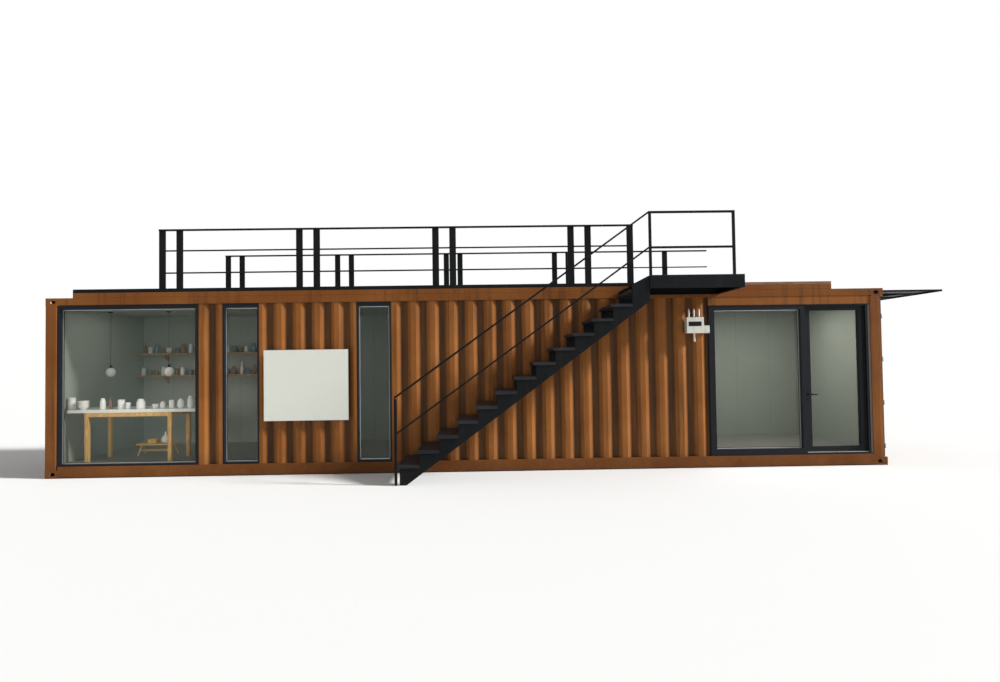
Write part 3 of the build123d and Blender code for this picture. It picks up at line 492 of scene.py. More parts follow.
# ---- Entrance door
# One glazed leaf of the same coated aluminium, opening inwards on three barrel hinges. Rubber seals
# run round the leaf, and a dark lever with a round rose and a lock cylinder sits beside the mullion.
door_bead_width = 0.014
lever_inset = 0.045
cylinder_drop = 0.070
knuckle = 0.045
screw_inset = 0.009
threshold_left, threshold_right = 4.919, 5.842
dress(dark_coating, "entrance_door", edges=0.0025)
satin_steel = fine_finish("satin_steel", colour(178, 177, 172), 0.28, 0.42, metallic=1.0, bump=0.08,
                          scale=500.0)
dull_zinc = fine_finish("dull_zinc", colour(150, 151, 148), 0.4, 0.6, metallic=0.9, bump=0.15, scale=200.0)
dress(satin_steel, "hinge_pins", "door_hinge_barrels", edges=0.0012)
leaf_low, leaf_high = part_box("entrance_door")
pane_low, pane_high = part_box("entrance_door_pane")
pane_edges = (pane_low.x, pane_high.x, pane_low.z, pane_high.z)
leaf_edges = (leaf_low.x, leaf_high.x, leaf_low.z, leaf_high.z)
beads = bmesh.new()
seals = bmesh.new()
ring(beads, *pane_edges, door_bead_width, leaf_low.y + 0.006, pane_low.y - glass_gap, 0.0015)
ring(beads, *pane_edges, door_bead_width, pane_high.y + glass_gap, leaf_high.y - 0.004, 0.0015)
ring(seals, *pane_edges, 0.005, pane_low.y - 0.006, pane_low.y - glass_gap, 0.001, inset=door_bead_width)
ring(seals, *leaf_edges, 0.008, leaf_low.y - 0.003, leaf_low.y + 0.001, 0.001, inset=0.004)
place_piece(beads, "door_glazing_beads", dark_coating, "door")
place_piece(seals, "door_seals", rubber, "door")


def stud(mesh, along, level, from_y, to_y, radius, sides, end_radius=None):
    """A round part that stands square out of an upright face, such as a screw's head."""
    rod(mesh, (along, from_y, level), (along, to_y, level), radius, sides, end_radius)


# Each side has a back plate, a rose, a neck, the lever, a lock cylinder with its slot and two screws.
handle_low, handle_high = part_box("door_handles")
middle = leaf_low.x + lever_inset
height = (handle_low.z + handle_high.z) / 2
key_height = height - cylinder_drop
handle = bmesh.new()
for face, way in ((leaf_low.y, -1), (leaf_high.y, 1)):
    skin = face + way * 0.004
    front = face + way * 0.048
    block(handle, (middle - 0.017, face, handle_low.z), (middle + 0.017, face + way * 0.005, handle_high.z),
          0.0022, 3)
    stud(handle, middle, height, face, front - way * 0.006, 0.009, 24)
    stud(handle, middle, height, skin, face + way * 0.012, 0.0165, 24, 0.0145)
    block(handle, (middle - 0.009, front, height - 0.009),
          (handle_high.x - 0.001, front - way * 0.016, height + 0.009), 0.0065, 4)
    stud(handle, middle, key_height, skin, face + way * 0.013, 0.0088, 24)
    block(handle, (middle - 0.0014, face + way * 0.010, key_height - 0.005),
          (middle + 0.0014, face + way * 0.0138, key_height + 0.005))
    for level in (height - 0.100, height + 0.100):
        stud(handle, middle, level, skin, face + way * 0.0062, 0.0040, 12)
piece = place_piece(handle, "door_lever_handles", dark_coating, "door")
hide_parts("door_handles")

# Countersunk screws of the hinge leaves, two in each.
frame_screws = bmesh.new()
leaf_screws = bmesh.new()
hinge_low, hinge_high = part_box("hinge_pins")
barrel_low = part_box("door_hinge_barrels")[0]
hinge_back = leaf_high.y + 0.004
hinge_pitch = (hinge_high.z - hinge_low.z - 2 * knuckle) / 2
for step in range(3):
    for share in (0.010, 0.034):
        level = hinge_low.z + step * hinge_pitch + share
        for screws, along, height in ((frame_screws, hinge_high.x - screw_inset, level),
                                      (leaf_screws, barrel_low.x + screw_inset, level + knuckle)):
            stud(screws, along, height, hinge_back - 0.001, hinge_back + 0.0012, 0.0036, 10, 0.0026)
place_piece(frame_screws, "hinge_screws_frame", dull_zinc)
place_piece(leaf_screws, "hinge_screws_leaf", dull_zinc, "door")

# The threshold is a ribbed aluminium strip screwed on the frame's sill.
rib_pitch = 0.0105
threshold = bmesh.new()
block(threshold, (threshold_left, frame_low.y + 0.003, floor_level - 0.0005),
      (threshold_right, frame_high.y - 0.001, floor_level + 0.0015), 0.0006)
for step in range(9):
    rib = frame_low.y + 0.010 + step * rib_pitch
    block(threshold, (threshold_left, rib, floor_level + 0.001),
          (threshold_right, rib + 0.004, floor_level + 0.003), 0.0005)
place_piece(threshold, "entrance_threshold", pale_aluminium)


# ---- Cargo doors
# Two steel leaves, shut for good, with a pressed skin in a square frame. A rubber gasket lies round
# each, and zinc plated lock rods turn in forged guides and end in cams; flat handles swing from the rods.
gasket_width = 0.012
leaf_gap = 0.006
guide_levels = (0.46, 0.86, 1.72, 2.10)
guide_height = 0.05
handle_length = 0.48
inner_rod, inner_handle_level = 0.306, 1.220
outer_rod, outer_handle_level = 0.909, 1.120
lug_low, lug_high = 1.212, 1.252
dress(wall_paint, "cargo_doors", edges=0.003)
dress(dull_zinc, "cargo_door_gear", edges=0.003)
door_low, door_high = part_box("cargo_doors")
outside = door_high.x
low_z, high_z = door_low.z, door_high.z
gasket = bmesh.new()
gear = bmesh.new()
for side in (-1, 1):
    low_y, high_y = sorted((side * leaf_gap, side * door_high.y))
    for (z, y), (to_z, to_y) in bars(low_z, high_z, low_y, high_y, gasket_width):
        block(gasket, (outside - 0.010, y, z), (outside + 0.004, to_y, to_z), 0.002)
    # Each rod has four guides bolted on, a cam at both ends, a lug and a flat handle with its grip.
    for across, reach, handle_level in ((inner_rod, handle_length, inner_handle_level),
                                        (outer_rod, -handle_length, outer_handle_level)):
        spot = side * across
        for level in guide_levels:
            middle = level + guide_height / 2
            block(gear, (outside, spot - 0.045, level),
                  (outside + 0.006, spot + 0.045, level + guide_height), 0.002)
            block(gear, (outside + 0.002, spot - 0.022, middle - 0.019),
                  (outside + 0.0415, spot + 0.022, middle + 0.019), 0.006, 3)
            for bolt in (spot - 0.033, spot + 0.033):
                rod(gear, (outside + 0.005, bolt, middle), (outside + 0.011, bolt, middle), 0.008, 6)
        for level in (low_z + 0.010, high_z - 0.050):
            block(gear, (outside + 0.006, spot - 0.030, level),
                  (outside + 0.044, spot + 0.030, level + 0.040), 0.005)
        lug_from, lug_to = sorted((spot, spot - side * 0.005))
        block(gear, (outside + 0.030, lug_from, lug_low), (outside + 0.040, lug_to + 0.001, lug_high))
        block(gear, (outside + 0.034, spot, handle_level - 0.016),
              (outside + 0.042, spot + side * reach, handle_level + 0.016), 0.003)
    # The handles rest in keepers on the door's skin.
    for across, level in ((0.62, inner_handle_level), (0.56, outer_handle_level)):
        block(gear, (outside, side * across - 0.03, level - 0.04),
              (outside + 0.034, side * across + 0.03, level + 0.04), 0.004)
place_piece(gasket, "cargo_door_gaskets", rubber)
place_piece(gear, "lock_rod_fittings", dull_zinc)


# ---- Awning over the cargo door end
# A folded steel pan, painted black, that lies on two triangular brackets. Its edges are turned down
# and ribs are welded across its underside.
sheet = 0.003
rib_width = 0.030
bays = 4
dress(black_paint, "awning_brackets", edges=0.0015)
low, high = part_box("awning_sheet")
underside = high.z - sheet
pan = bmesh.new()
block(pan, (low.x, low.y, underside), high, 0.0008)
for start, end in bars(low.x, high.x, low.y, high.y, sheet):
    block(pan, (*start, low.z), (*end, underside), 0.0008)
for step in range(1, bays):
    across = low.y + step * (high.y - low.y) / bays
    block(pan, (low.x + sheet, across - rib_width / 2, low.z + 0.006),
          (high.x - sheet, across + rib_width / 2, underside), 0.002)
piece = place_piece(pan, "awning_pan", black_paint)
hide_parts("awning_sheet")


# ---- Roof terrace
# Steel beams and joists painted like the container carry thick softwood boards, oiled brown and
# screwed down with two screws at each joist. A black folded strip closes the edge of the deck.
board_count = 17
deck_front = -1.211
board_pitch = 2 * -deck_front / board_count
board_gap = 0.005
joist_pitch = 0.99
first_joist = 0.086
landing_left = 2.419
dress(brown_paint, "terrace_frame", edges=0.004)
dress(black_paint, "terrace_deck_edges", edges=0.0015)
deck_wood = timber("oiled_deck_boards", pale=colour(132, 92, 62), dark=colour(86, 58, 40),
                   stretch=(0.45, 5.0, 5.0), bump=0.35, board=board_pitch)
low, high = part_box("terrace_deck")
deck_level = high.z
planks = bmesh.new()
screws = bmesh.new()
for row in range(board_count):
    from_y = deck_front + row * board_pitch + board_gap / 2
    to_y = from_y + board_pitch - board_gap
    # The butt joints lie on joists, three apart, and move on by one from row to row.
    cuts = [low.x] + [low.x + (row % 3 + 2 + 3 * step) * joist_pitch for step in range(4)] + [high.x]
    cuts = sorted({round(min(cut, high.x), 4) for cut in cuts})
    for start, end in zip(cuts, cuts[1:]):
        if end - start > 0.05:
            block(planks, (start + 0.0015, from_y, low.z), (end - 0.0015, to_y, deck_level), 0.003, 1)
    joist = low.x + first_joist
    while joist < high.x:
        for across in (from_y + 0.028, to_y - 0.028):
            bmesh.ops.create_circle(screws, cap_ends=True, segments=8, radius=0.0048,
                                    matrix=Matrix.Translation((joist, across, deck_level + 0.0004)))
        joist += joist_pitch
# From the landing on, no black strip lies in front of the boards, and a slat ends them.
block(planks, (landing_left, low.y, low.z), (high.x, deck_front, deck_level), 0.002, 1)
piece = place_piece(planks, "deck_boards", deck_wood)
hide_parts("terrace_deck")
place_piece(screws, "deck_screws", dull_zinc)


# ---- Terrace railings
# Flat steel uprights in pairs, a flat top bar over them and two square bars behind them, all welded
# and painted black. Each upright stands on a small foot plate bolted through the deck.
first_upright = 1.617
pair_pitch = 1.980
pair_gap = 0.250
front_end_upright = 8.427
rear_end_upright = 9.584
plate_outer, plate_inner = 1.210, 1.150
bolt_line = 1.166
weld_line = 1.2045
dress(black_paint, "front_railing", "rear_railing", edges=0.002)
pairs = [left_edge + first_upright + pair_pitch * pair + pair_gap * second
         for pair in range(4) for second in (0, 1)]
feet = bmesh.new()
for side, last in ((-1, front_end_upright), (1, rear_end_upright)):
    across = side * bolt_line
    for spot in pairs + [left_edge + last]:
        block(feet, (spot - 0.012, side * plate_outer, deck_level - 0.0005),
              (spot + 0.108, side * plate_inner, deck_level + 0.008), 0.0015)
        for along in (spot + 0.016, spot + 0.080):
            rod(feet, (along, across, deck_level + 0.007), (along, across, deck_level + 0.0095), 0.0120, 16)
            rod(feet, (along, across, deck_level + 0.009), (along, across, deck_level + 0.0165), 0.0085, 6)
        rod(feet, (spot, side * weld_line, deck_level + 0.009),
            (spot + 0.096, side * weld_line, deck_level + 0.009), 0.003, 6)
place_piece(feet, "railing_foot_plates", black_paint)


# ---- Landing and stair
# Steel channels and plates, welded and painted black. The landing floor and the treads are chequer
# plate, whose raised lozenges keep shoes from slipping; the treads are folded down at the nosing.
lozenge_pitch = 0.030
stair_foot = left_edge + 5.180
first_rise = 0.2625
landing_level = 2.703
steps_up = 13
rise = (landing_level - first_rise) / steps_up
going = (landing_left - stair_foot) / steps_up
stringer_thickness = 0.014
cleat = 0.080
cleat_plate = 0.008
lozenges, given, put = effect("chequer_plate", {"Pitch": "Float"}, {"Mask": "Float", "Height": "Float"})
parts = parts_of(lozenges, own_place(lozenges))
# The floor is laid out in squares; every second one is mirrored, so that the lozenges cross.
numbers, offsets = [], []
for axis in (0, 1):
    cell = worked(lozenges, "DIVIDE", parts[axis], given.outputs["Pitch"])
    numbers.append(worked(lozenges, "FLOOR", cell))
    inside = worked(lozenges, "SUBTRACT", cell, numbers[axis])
    offsets.append(worked(lozenges, "SUBTRACT", inside, 0.5))
total = worked(lozenges, "ADD", *numbers)
odd = worked(lozenges, "FLOORED_MODULO", total, 2.0)
turn = worked(lozenges, "MULTIPLY_ADD", odd, 2.0, -1.0)
mirrored = worked(lozenges, "MULTIPLY", offsets[0], turn)
longways = worked(lozenges, "ADD", mirrored, offsets[1])
crossways = worked(lozenges, "SUBTRACT", mirrored, offsets[1])
long_part = worked(lozenges, "MULTIPLY", longways, longways)
cross_part = worked(lozenges, "MULTIPLY", crossways, crossways)
reach = worked(lozenges, "MULTIPLY_ADD", cross_part, 22.0, long_part)
raised = remap(lozenges, reach, 0.22, 0.40, 1.0, 0.0)
# Only faces that look up carry lozenges; the folded nosings are smooth.
normal = add(lozenges, "ShaderNodeNewGeometry").outputs["Normal"]
upward = parts_of(lozenges, normal)[2]
raised = worked(lozenges, "MULTIPLY", raised, remap(lozenges, upward, 0.5, 0.8))
hand_out(lozenges, put, Mask=raised, Height=raised)

# Shoes wear the paint off the tops of the lozenges.
tread_plate, tree, shader, coat = weathered(
    "chequer_plate_paint", Paint=colour(30, 31, 35), Faded=colour(42, 42, 46), Dirt=colour(60, 57, 52),
    Chips=colour(76, 70, 64), Streaks=0.3, Chipping=0.3)
studs = add(tree, "ShaderNodeGroup", {"Pitch": lozenge_pitch}, node_tree=lozenges)
worn = remap(tree, studs.outputs["Mask"], 0.3, 1.0, 0.0, 0.55)
tree.links.new(blend(tree, worn, coat.outputs["Colour"], colour(84, 83, 81)), shader.inputs["Base Color"])
emboss(tree, shader, 0.8, 0.0018, studs.outputs["Height"])
dress(tread_plate, "landing_floor", "stair_treads", edges=0.0015)
dress(black_paint, "landing_frame", "stair_stringers", edges=0.003)
dress(black_paint, "landing_guard", "stair_railing", edges=0.004)

# Weld beads between treads and stringers, and cleats with anchor bolts at the foot of each stringer.
low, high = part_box("stair_stringers")
inner_faces = (low.y + stringer_thickness, high.y - stringer_thickness)
stair_welds = bmesh.new()
for step in range(steps_up - 1):
    start = stair_foot + step * going + 0.035
    level = first_rise + step * rise - 0.041
    for face in (low.y, *inner_faces, high.y):
        rod(stair_welds, (start, face, level), (start + going - 0.016, face, level), 0.004, 6)
cleat_from = low.x + 0.004
bolt_along = cleat_from + cleat / 2
for face, way in zip(inner_faces, (1, -1)):
    bolt_across = face + way * 0.040
    block(stair_welds, (cleat_from, face, 0.0), (cleat_from + cleat, face + way * 0.070, cleat_plate), 0.0015)
    block(stair_welds, (cleat_from, face, cleat_plate),
          (cleat_from + cleat, face + way * cleat_plate, cleat_plate + 0.070), 0.0015)
    for top, radius, sides in ((0.019, 0.011, 6), (0.010, 0.016, 16)):
        rod(stair_welds, (bolt_along, bolt_across, 0.007), (bolt_along, bolt_across, top), radius, sides)
    for level in (0.030, 0.060):
        stud(stair_welds, bolt_along, level, face - way * 0.016, face - way * 0.0135, 0.010, 6)
place_piece(stair_welds, "stair_welds_and_cleats", black_paint)


# ---- Blank board
# A white faced composite panel on two timber battens, with a thin aluminium edge and eight screws.
edge_width = 0.004
board_white = fine_finish("board_white", colour(208, 210, 200), 0.42, 0.6, bump=0.05, scale=240.0)
dress(board_white, "blank_board", edges=0.002)
batten_wood = timber("sawn_battens", pale=colour(178, 148, 106), dark=colour(138, 108, 72),
                     stretch=(0.6, 7.0, 7.0), bump=0.3)
dress(batten_wood, "board_battens")
low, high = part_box("blank_board")
trim = bmesh.new()
ring(trim, low.x, high.x, low.z, high.z, edge_width, low.y - 0.0008, high.y + 0.0008)
for along in (low.x + 0.09, low.x + 0.43, high.x - 0.43, high.x - 0.09):
    for level in (low.z + 0.060, high.z - 0.060):
        stud(trim, along, level, low.y, low.y - 0.0022, 0.0062, 16, 0.0045)
place_piece(trim, "board_edge_and_screws", pale_aluminium)


# ---- Electric box
# A grey painted steel box with a hinged cover and a dark louvred inset, a smaller junction box beside
# it, ribbed porcelain insulators on top and a conduit stub below. Screws hold it to the wall's flats.
box_bottom, box_top = 1.960, 2.190
cover_width = 0.250
side_box_top = 2.070
side_box_right = 0.345
stub_bottom = 1.840
insulator_pitch = 0.075


def turned(mesh, profile, centre, steps=32):
    """A shape turned round an upright axis from (radius, height) pairs, both ends on the axis."""
    x, y, z = centre
    corners = [mesh.verts.new((x + radius, y, z + height)) for radius, height in profile]
    edges = [mesh.edges.new(pair) for pair in zip(corners, corners[1:])]
    bmesh.ops.spin(mesh, geom=corners + edges, cent=(x, y, 0.0), axis=(0.0, 0.0, 1.0), angle=math.tau,
                   steps=steps, use_merge=True)
    bmesh.ops.remove_doubles(mesh, verts=mesh.verts, dist=0.00002)


box_grey = weathered("grey_box_paint", Paint=colour(196, 196, 188), Faded=colour(208, 207, 198),
                     Dirt=colour(128, 122, 110), Chips=colour(140, 110, 84), Streaks=0.4, Chipping=0.12,
                     gloss=0.3)[0]
porcelain = fine_finish("white_porcelain", colour(206, 203, 192), 0.12, 0.25, bump=0.03, scale=60.0)
low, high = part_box("electric_box")
left, front, back = low.x, low.y, high.y
cabinet = bmesh.new()
block(cabinet, (left + 0.003, front + 0.014, box_bottom + 0.002),
      (left + cover_width - 0.003, back, box_top - 0.002), 0.003)
block(cabinet, (left, front, box_bottom), (left + cover_width, front + 0.013, box_top), 0.004, 3)
for level in (2.005, 2.130):
    hinge = (left + 0.004, front + 0.010)
    rod(cabinet, (*hinge, level), (*hinge, level + 0.030), 0.0038, 10)
stud(cabinet, left + 0.236, 2.000, front + 0.002, front - 0.003, 0.008, 16)
block(cabinet, (left + cover_width + 0.002, back - 0.078, box_bottom + 0.002),
      (left + side_box_right - 0.001, back, side_box_top - 0.001), 0.004, 3)
block(cabinet, (left + cover_width, back - 0.080, box_bottom),
      (left + side_box_right, back - 0.068, side_box_top), 0.004, 3)
for hand in (0.262, 0.333):
    for level in (box_bottom + 0.012, side_box_top - 0.012):
        stud(cabinet, left + hand, level, back - 0.0795, back - 0.080, 0.004, 10)
middle, depth = left + cover_width / 2, back - 0.060
for bottom, top, radius, sides in ((stub_bottom + 0.002, 1.965, 0.0125, 20), (1.936, 1.961, 0.0140, 6),
                                   (stub_bottom, 1.856, 0.0140, 20)):
    rod(cabinet, (middle, depth, bottom), (middle, depth, top), radius, sides)
cabinet_piece = place_piece(cabinet, "electric_box_cabinet", box_grey)
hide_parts("electric_box")

louvre_pitch = 0.0225
louvres = bmesh.new()
block(louvres, (left + 0.028, front - 0.0015, 2.062), (left + 0.216, front + 0.003, 2.128), 0.001)
for step in range(8):
    bar = left + 0.038 + step * louvre_pitch
    block(louvres, (bar, front - 0.0045, 2.066), (bar + 0.010, front, 2.124), 0.001)
place_piece(louvres, "box_louvres", dark_coating)

profile = [(0.0, 0.0), (0.009, 0.0), (0.009, 0.012)]
for rib in range(5):
    level = 0.016 + rib * 0.020
    profile += [(0.0155, level), (0.0158, level + 0.004), (0.0098, level + 0.010), (0.0094, level + 0.014)]
profile += [(0.0094, 0.118), (0.0055, 0.120), (0.0055, 0.129), (0.0, 0.130)]
insulators = bmesh.new()
for step in (-1, 0, 1):
    turned(insulators, profile, (middle + step * insulator_pitch, depth, box_top), 20)
place_piece(insulators, "box_insulators", porcelain, smooth=True)


# ---- Table, stool, shelves and crockery
# A long work table with a white lacquered top on pale wooden legs, a low stool, two plank shelves on
# steel brackets, and glazed pots, jars and bowls that stand about on them.
seat_thickness = 0.026
stretcher_height = 0.075
shelf_levels = (1.420, 1.810)
jars_on_shelf = 23
jar_pitch = 0.114
pale_wood = timber("pale_varnished_wood", pale=colour(238, 192, 112), dark=colour(208, 156, 80),
                   stretch=(4.0, 4.0, 0.5), bump=0.1)
shelf_wood = timber("shelf_wood", pale=colour(224, 172, 96), dark=colour(186, 132, 66),
                    stretch=(0.5, 5.0, 5.0), bump=0.1)
white_lacquer = fine_finish("white_lacquer", colour(238, 236, 226), 0.22, 0.38, bump=0.04, scale=90.0)
dress(white_lacquer, "table_top", edges=0.005)
dress(pale_wood, "table_frame", edges=0.005)
dress(shelf_wood, "wall_shelves", edges=0.002)

low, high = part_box("low_stool")
stool_middle = (low.y + high.y) / 2
seat = high.z
stool = bmesh.new()
block(stool, (low.x, low.y, seat - seat_thickness), high, 0.009, 4)
for head_x, way_x in ((low.x + 0.075, -1), (high.x - 0.075, 1)):
    for head_y, way_y in ((low.y + 0.060, -1), (high.y - 0.060, 1)):
        rod(stool, (head_x + way_x * 0.050, head_y + way_y * 0.038, low.z), (head_x, head_y, seat - 0.020),
            0.0105, 20, 0.0165)
for across in (low.y + 0.045, high.y - 0.045):
    rod(stool, (low.x + 0.058, across, low.z + stretcher_height),
        (high.x - 0.058, across, low.z + stretcher_height), 0.007, 14)
piece = place_piece(stool, "low_stool_with_splayed_legs", pale_wood)
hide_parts("low_stool")


def glaze(name, plain):
    """Fired glaze, glossy with faint specks."""
    material, tree, shader = shade(name, plain, roughness=0.15, Coat_Weight=0.4)
    specks = remap(tree, noise(tree, own_place(tree), scale=160.0, detail=2.0), 0.62, 0.70, 0.0, 0.5)
    speck_colour = tuple(c * 0.45 for c in plain[:3]) + (1.0,)
    tree.links.new(blend(tree, specks, plain, speck_colour), shader.inputs["Base Color"])
    return material


white_glaze = glaze("white_glaze", colour(242, 240, 232))
brown_glaze = glaze("brown_glaze", colour(138, 98, 66))
blue_glaze = glaze("blue_grey_glaze", colour(112, 128, 138))

# Outlines of the vessels, in shares of their radius and height.
outlines = {
    "pot": [(0, 0), (0.62, 0), (0.9, 0.12), (1, 0.42), (0.93, 0.68), (0.72, 0.8), (0.76, 0.83), (0.5, 0.9),
            (0.14, 0.93), (0.2, 0.98), (0, 1)],
    "jar": [(0, 0), (0.86, 0), (0.97, 0.05), (0.98, 0.66), (0.8, 0.78), (0.66, 0.84), (0.72, 0.88),
            (0.72, 0.97), (0, 1)],
    "bottle": [(0, 0), (0.66, 0), (0.74, 0.08), (0.7, 0.5), (0.3, 0.72), (0.24, 0.95), (0.3, 1), (0, 1)],
    "bowls": [(0, 0), (0.42, 0)],
    "mug": [(0, 0), (0.78, 0), (0.86, 0.06), (0.86, 0.92), (0.80, 0.93), (0.78, 0.16), (0, 0.14)],
}
for step in range(4):
    base = 0.06 + step * 0.11
    outlines["bowls"] += [(0.5, base), (0.98, base + 0.16), (0.98, base + 0.18)]
    outlines["bowls"] += [(0.86, base + 0.17)] if step < 3 else []
outlines["bowls"] += [(0.9, 0.55), (0.3, 0.44), (0, 0.44)]


def vessel(mesh, kind, radius, height, centre, steps):
    """One vessel of a kind, turned on the wheel."""
    turned(mesh, [(share * radius, level * height) for share, level in outlines[kind]], centre, steps)


# The table's row from left to right: distance from the left end, kind, radius and height.
table_row = ((0.230, "mug", 0.062, 0.190), (0.430, "bowls", 0.080, 0.230), (0.700, "jar", 0.040, 0.165),
             (0.800, "bottle", 0.036, 0.175), (0.960, "mug", 0.056, 0.150), (1.075, "mug", 0.042, 0.105),
             (1.270, "jar", 0.062, 0.150), (1.460, "bowls", 0.055, 0.120), (1.560, "pot", 0.040, 0.110),
             (1.700, "mug", 0.045, 0.130), (1.850, "pot", 0.050, 0.150), (1.990, "jar", 0.042, 0.185),
             (2.120, "bowls", 0.060, 0.140))
low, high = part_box("table_pots")
table_ware = {white_glaze: bmesh.new(), brown_glaze: bmesh.new()}
for spot, kind, radius, height in table_row:
    across = (low.y + high.y) / 2 + 0.03 * math.sin(spot * 9)
    vessel(table_ware[brown_glaze if kind == "bottle" else white_glaze], kind, radius, height,
           (left_edge + spot, across, low.z), 32)
pieces = [place_piece(mesh, "table_ware_" + finish.name.split("_")[0], finish, smooth=True)
          for finish, mesh in table_ware.items()]
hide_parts("table_pots")

heights = {"bottle": 0.22, "jar": 0.16, "bowls": 0.17, "pot": 0.115, "mug": 0.115}
kinds = ("jar", "bowls", "pot", "jar", "bottle", "mug", "jar", "mug", "bowls", "pot", "jar")
low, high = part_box("shelf_jars")
shelf_ware = {white_glaze: bmesh.new(), brown_glaze: bmesh.new(), blue_glaze: bmesh.new()}
finishes = list(shelf_ware)
for row, level in enumerate(shelf_levels):
    for number in range(jars_on_shelf):
        kind = kinds[(number + row * 4) % len(kinds)]
        radius = random.uniform(0.034, 0.048) if kind != "bowls" else 0.052
        height = heights[kind] * random.uniform(0.85, 1.1)
        along = left_edge + 0.25 + number * jar_pitch + random.uniform(-0.008, 0.008)
        across = (low.y + high.y) / 2 + random.uniform(-0.04, 0.04)
        vessel(shelf_ware[finishes[(number * 2 + row) % len(finishes)]], kind, radius, height,
               (along, across, level), 24)
pieces = [place_piece(mesh, "shelf_ware_" + finish.name.split("_")[0], finish, smooth=True)
          for finish, mesh in shelf_ware.items()]
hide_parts("shelf_jars")

# A narrow necked vase and a small wooden box with a lid stand on the stool.
low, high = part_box("low_stool")
lid_level = seat + 0.052
vase = bmesh.new()
turned(vase, [(0, 0), (0.030, 0), (0.052, 0.020), (0.064, 0.052), (0.056, 0.086), (0.030, 0.112),
              (0.015, 0.130), (0.012, 0.168), (0.017, 0.176), (0, 0.176)],
       (low.x + 0.69 * (high.x - low.x), stool_middle, seat))
place_piece(vase, "stool_vase", white_glaze, smooth=True)
small_box = bmesh.new()
block(small_box, (low.x + 0.165, low.y + 0.050, seat), (low.x + 0.295, high.y - 0.060, lid_level), 0.003)
block(small_box, (low.x + 0.162, low.y + 0.047, lid_level),
      (low.x + 0.298, high.y - 0.057, lid_level + 0.014), 0.003)
place_piece(small_box, "stool_box", pale_wood)


# ---- Pendant lamps
# Opal glass globes on thin cords from small ceiling roses; a turned neck of dark metal holds each.
globe_radius = 0.076
globe_height = 1.500
globe_across = -0.219
cord_radius = 0.0028
opal, tree, shader = shade("opal_glass", colour(236, 233, 222), roughness=0.18, Coat_Weight=0.5)
milky = remap(tree, noise(tree, own_place(tree), scale=14.0), 0.35, 0.7, 0.0, 0.3)
tree.links.new(blend(tree, milky, colour(238, 235, 225), colour(222, 217, 203)), shader.inputs["Base Color"])
ceiling_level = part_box("ceiling")[0].z
drop = ceiling_level - globe_height
ball = [(0.0, -globe_radius)]
ball += [(globe_radius * math.sin(math.pi * step / 24), -globe_radius * math.cos(math.pi * step / 24))
         for step in range(1, 22)]
ball += [(0.0, 0.0715)]
neck_cord_and_rose = [(0.0, 0.060), (0.030, 0.062), (0.031, 0.074), (0.020, 0.092), (0.013, 0.118),
                      (0.004, 0.124), (cord_radius, 0.130), (cord_radius, drop - 0.020),
                      (0.008, drop - 0.019), (0.040, drop - 0.012), (0.044, drop - 0.001),
                      (0.0, drop - 0.0002)]
globes = bmesh.new()
fittings = bmesh.new()
for along in (0.362, 1.283):
    centre = (left_edge + along, globe_across, globe_height)
    turned(globes, ball, centre, 40)
    turned(fittings, neck_cord_and_rose, centre, 28)
globe_piece = place_piece(globes, "lamp_globes", opal, smooth=True)
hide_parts("pendant_lamps")
place_piece(fittings, "lamp_fittings", dark_coating, smooth=True)


# ---- Studio
# A pale floor, a white surround, one broad soft light from the right, a weaker one from the front,
# soft lights for the room, and the camera at the photograph's angle.
floor_half_size = 120.0
lens_length = 23.57
eye = (0.301, -10.743, 1.625)
turn_left, tilt_up, roll = -0.909, 91.579, -0.808
floor_finish, tree, shader = shade("studio_floor", (0.72, 0.72, 0.71, 1.0), roughness=0.9)
sheet_of_floor = bmesh.new()
bmesh.ops.create_grid(sheet_of_floor, x_segments=1, y_segments=1, size=floor_half_size)
studio_floor = show_mesh(sheet_of_floor, "studio_floor", floor_finish)

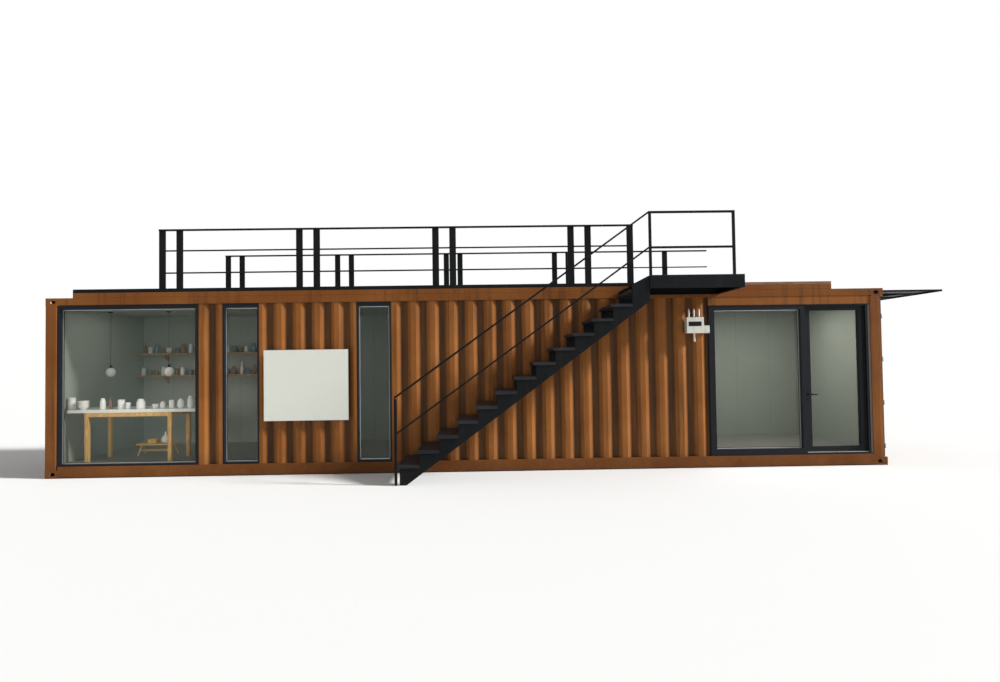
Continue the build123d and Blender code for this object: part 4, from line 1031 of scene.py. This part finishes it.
# The surround lights the object softly, yet is full white where it is seen, mirrored or looked at
# through a pane.
world = bpy.data.worlds.new("studio")
bpy.context.scene.world = world
world.use_nodes = True
tree = world.node_tree
seen = add(tree, "ShaderNodeLightPath")
straight = worked(tree, "MAXIMUM", seen.outputs["Is Camera Ray"], seen.outputs["Is Glossy Ray"])
straight = worked(tree, "MAXIMUM", straight, seen.outputs["Is Transmission Ray"])
tree.links.new(remap(tree, straight, 0.0, 1.0, 0.35, 1.0), tree.nodes["Background"].inputs["Strength"])
tree.nodes["Background"].inputs["Color"].default_value = (1.0, 1.0, 1.0, 1.0)


def light(name, kind, strength, place=(0.0, 0.0, 0.0), toward=None, **settings):
    """A light of a kind, turned to shine away from a direction."""
    lamp = bpy.data.lights.new(name, kind)
    lamp.energy = strength
    for key, value in settings.items():
        setattr(lamp, key, value)
    holder = show(name, lamp)
    holder.location = place
    if toward:
        holder.rotation_euler = Vector(toward).to_track_quat("Z", "Y").to_euler()
    return holder


light("key_light", "SUN", 6.3, toward=(0.86, -0.17, 0.48), angle=math.radians(7.0))
light("fill_light", "SUN", 0.25, toward=(0.30, -0.85, 0.30), angle=math.radians(60.0))
# Soft lights below the ceiling, so that the room shows through the glass as it does by day.
soft_lights = [light("room_light", "AREA", strength, (along, -0.50, ceiling_level - 0.03),
                     shape="RECTANGLE", size=1.6, size_y=1.2)
               for along, strength in ((-4.9, 5.0), (-2.4, 4.0), (1.2, 5.0), (4.6, 36.0))]
# A soft round light in front of the big window, for the table behind it.
soft_lights.append(light("table_light", "SPOT", 400.0, (-4.90, -5.20, 1.70), (0.0, -4.1, 0.75),
                         spot_size=math.radians(28.0), spot_blend=0.9, shadow_soft_size=0.5))
for holder in soft_lights:
    holder.visible_camera = False
    holder.visible_glossy = False
    holder.visible_transmission = False

lens = bpy.data.cameras.new("photo_view")
lens.sensor_width = 36.0
lens.lens = lens_length
lens.clip_end = 300.0
camera = show("photo_view", lens)
camera.matrix_world = (Matrix.Translation(eye) @ Matrix.Rotation(math.radians(turn_left), 4, "Z")
                       @ Matrix.Rotation(math.radians(tilt_up), 4, "X")
                       @ Matrix.Rotation(math.radians(roll), 4, "Z"))
bpy.context.scene.camera = camera
bpy.context.scene.view_settings.view_transform = "Standard"
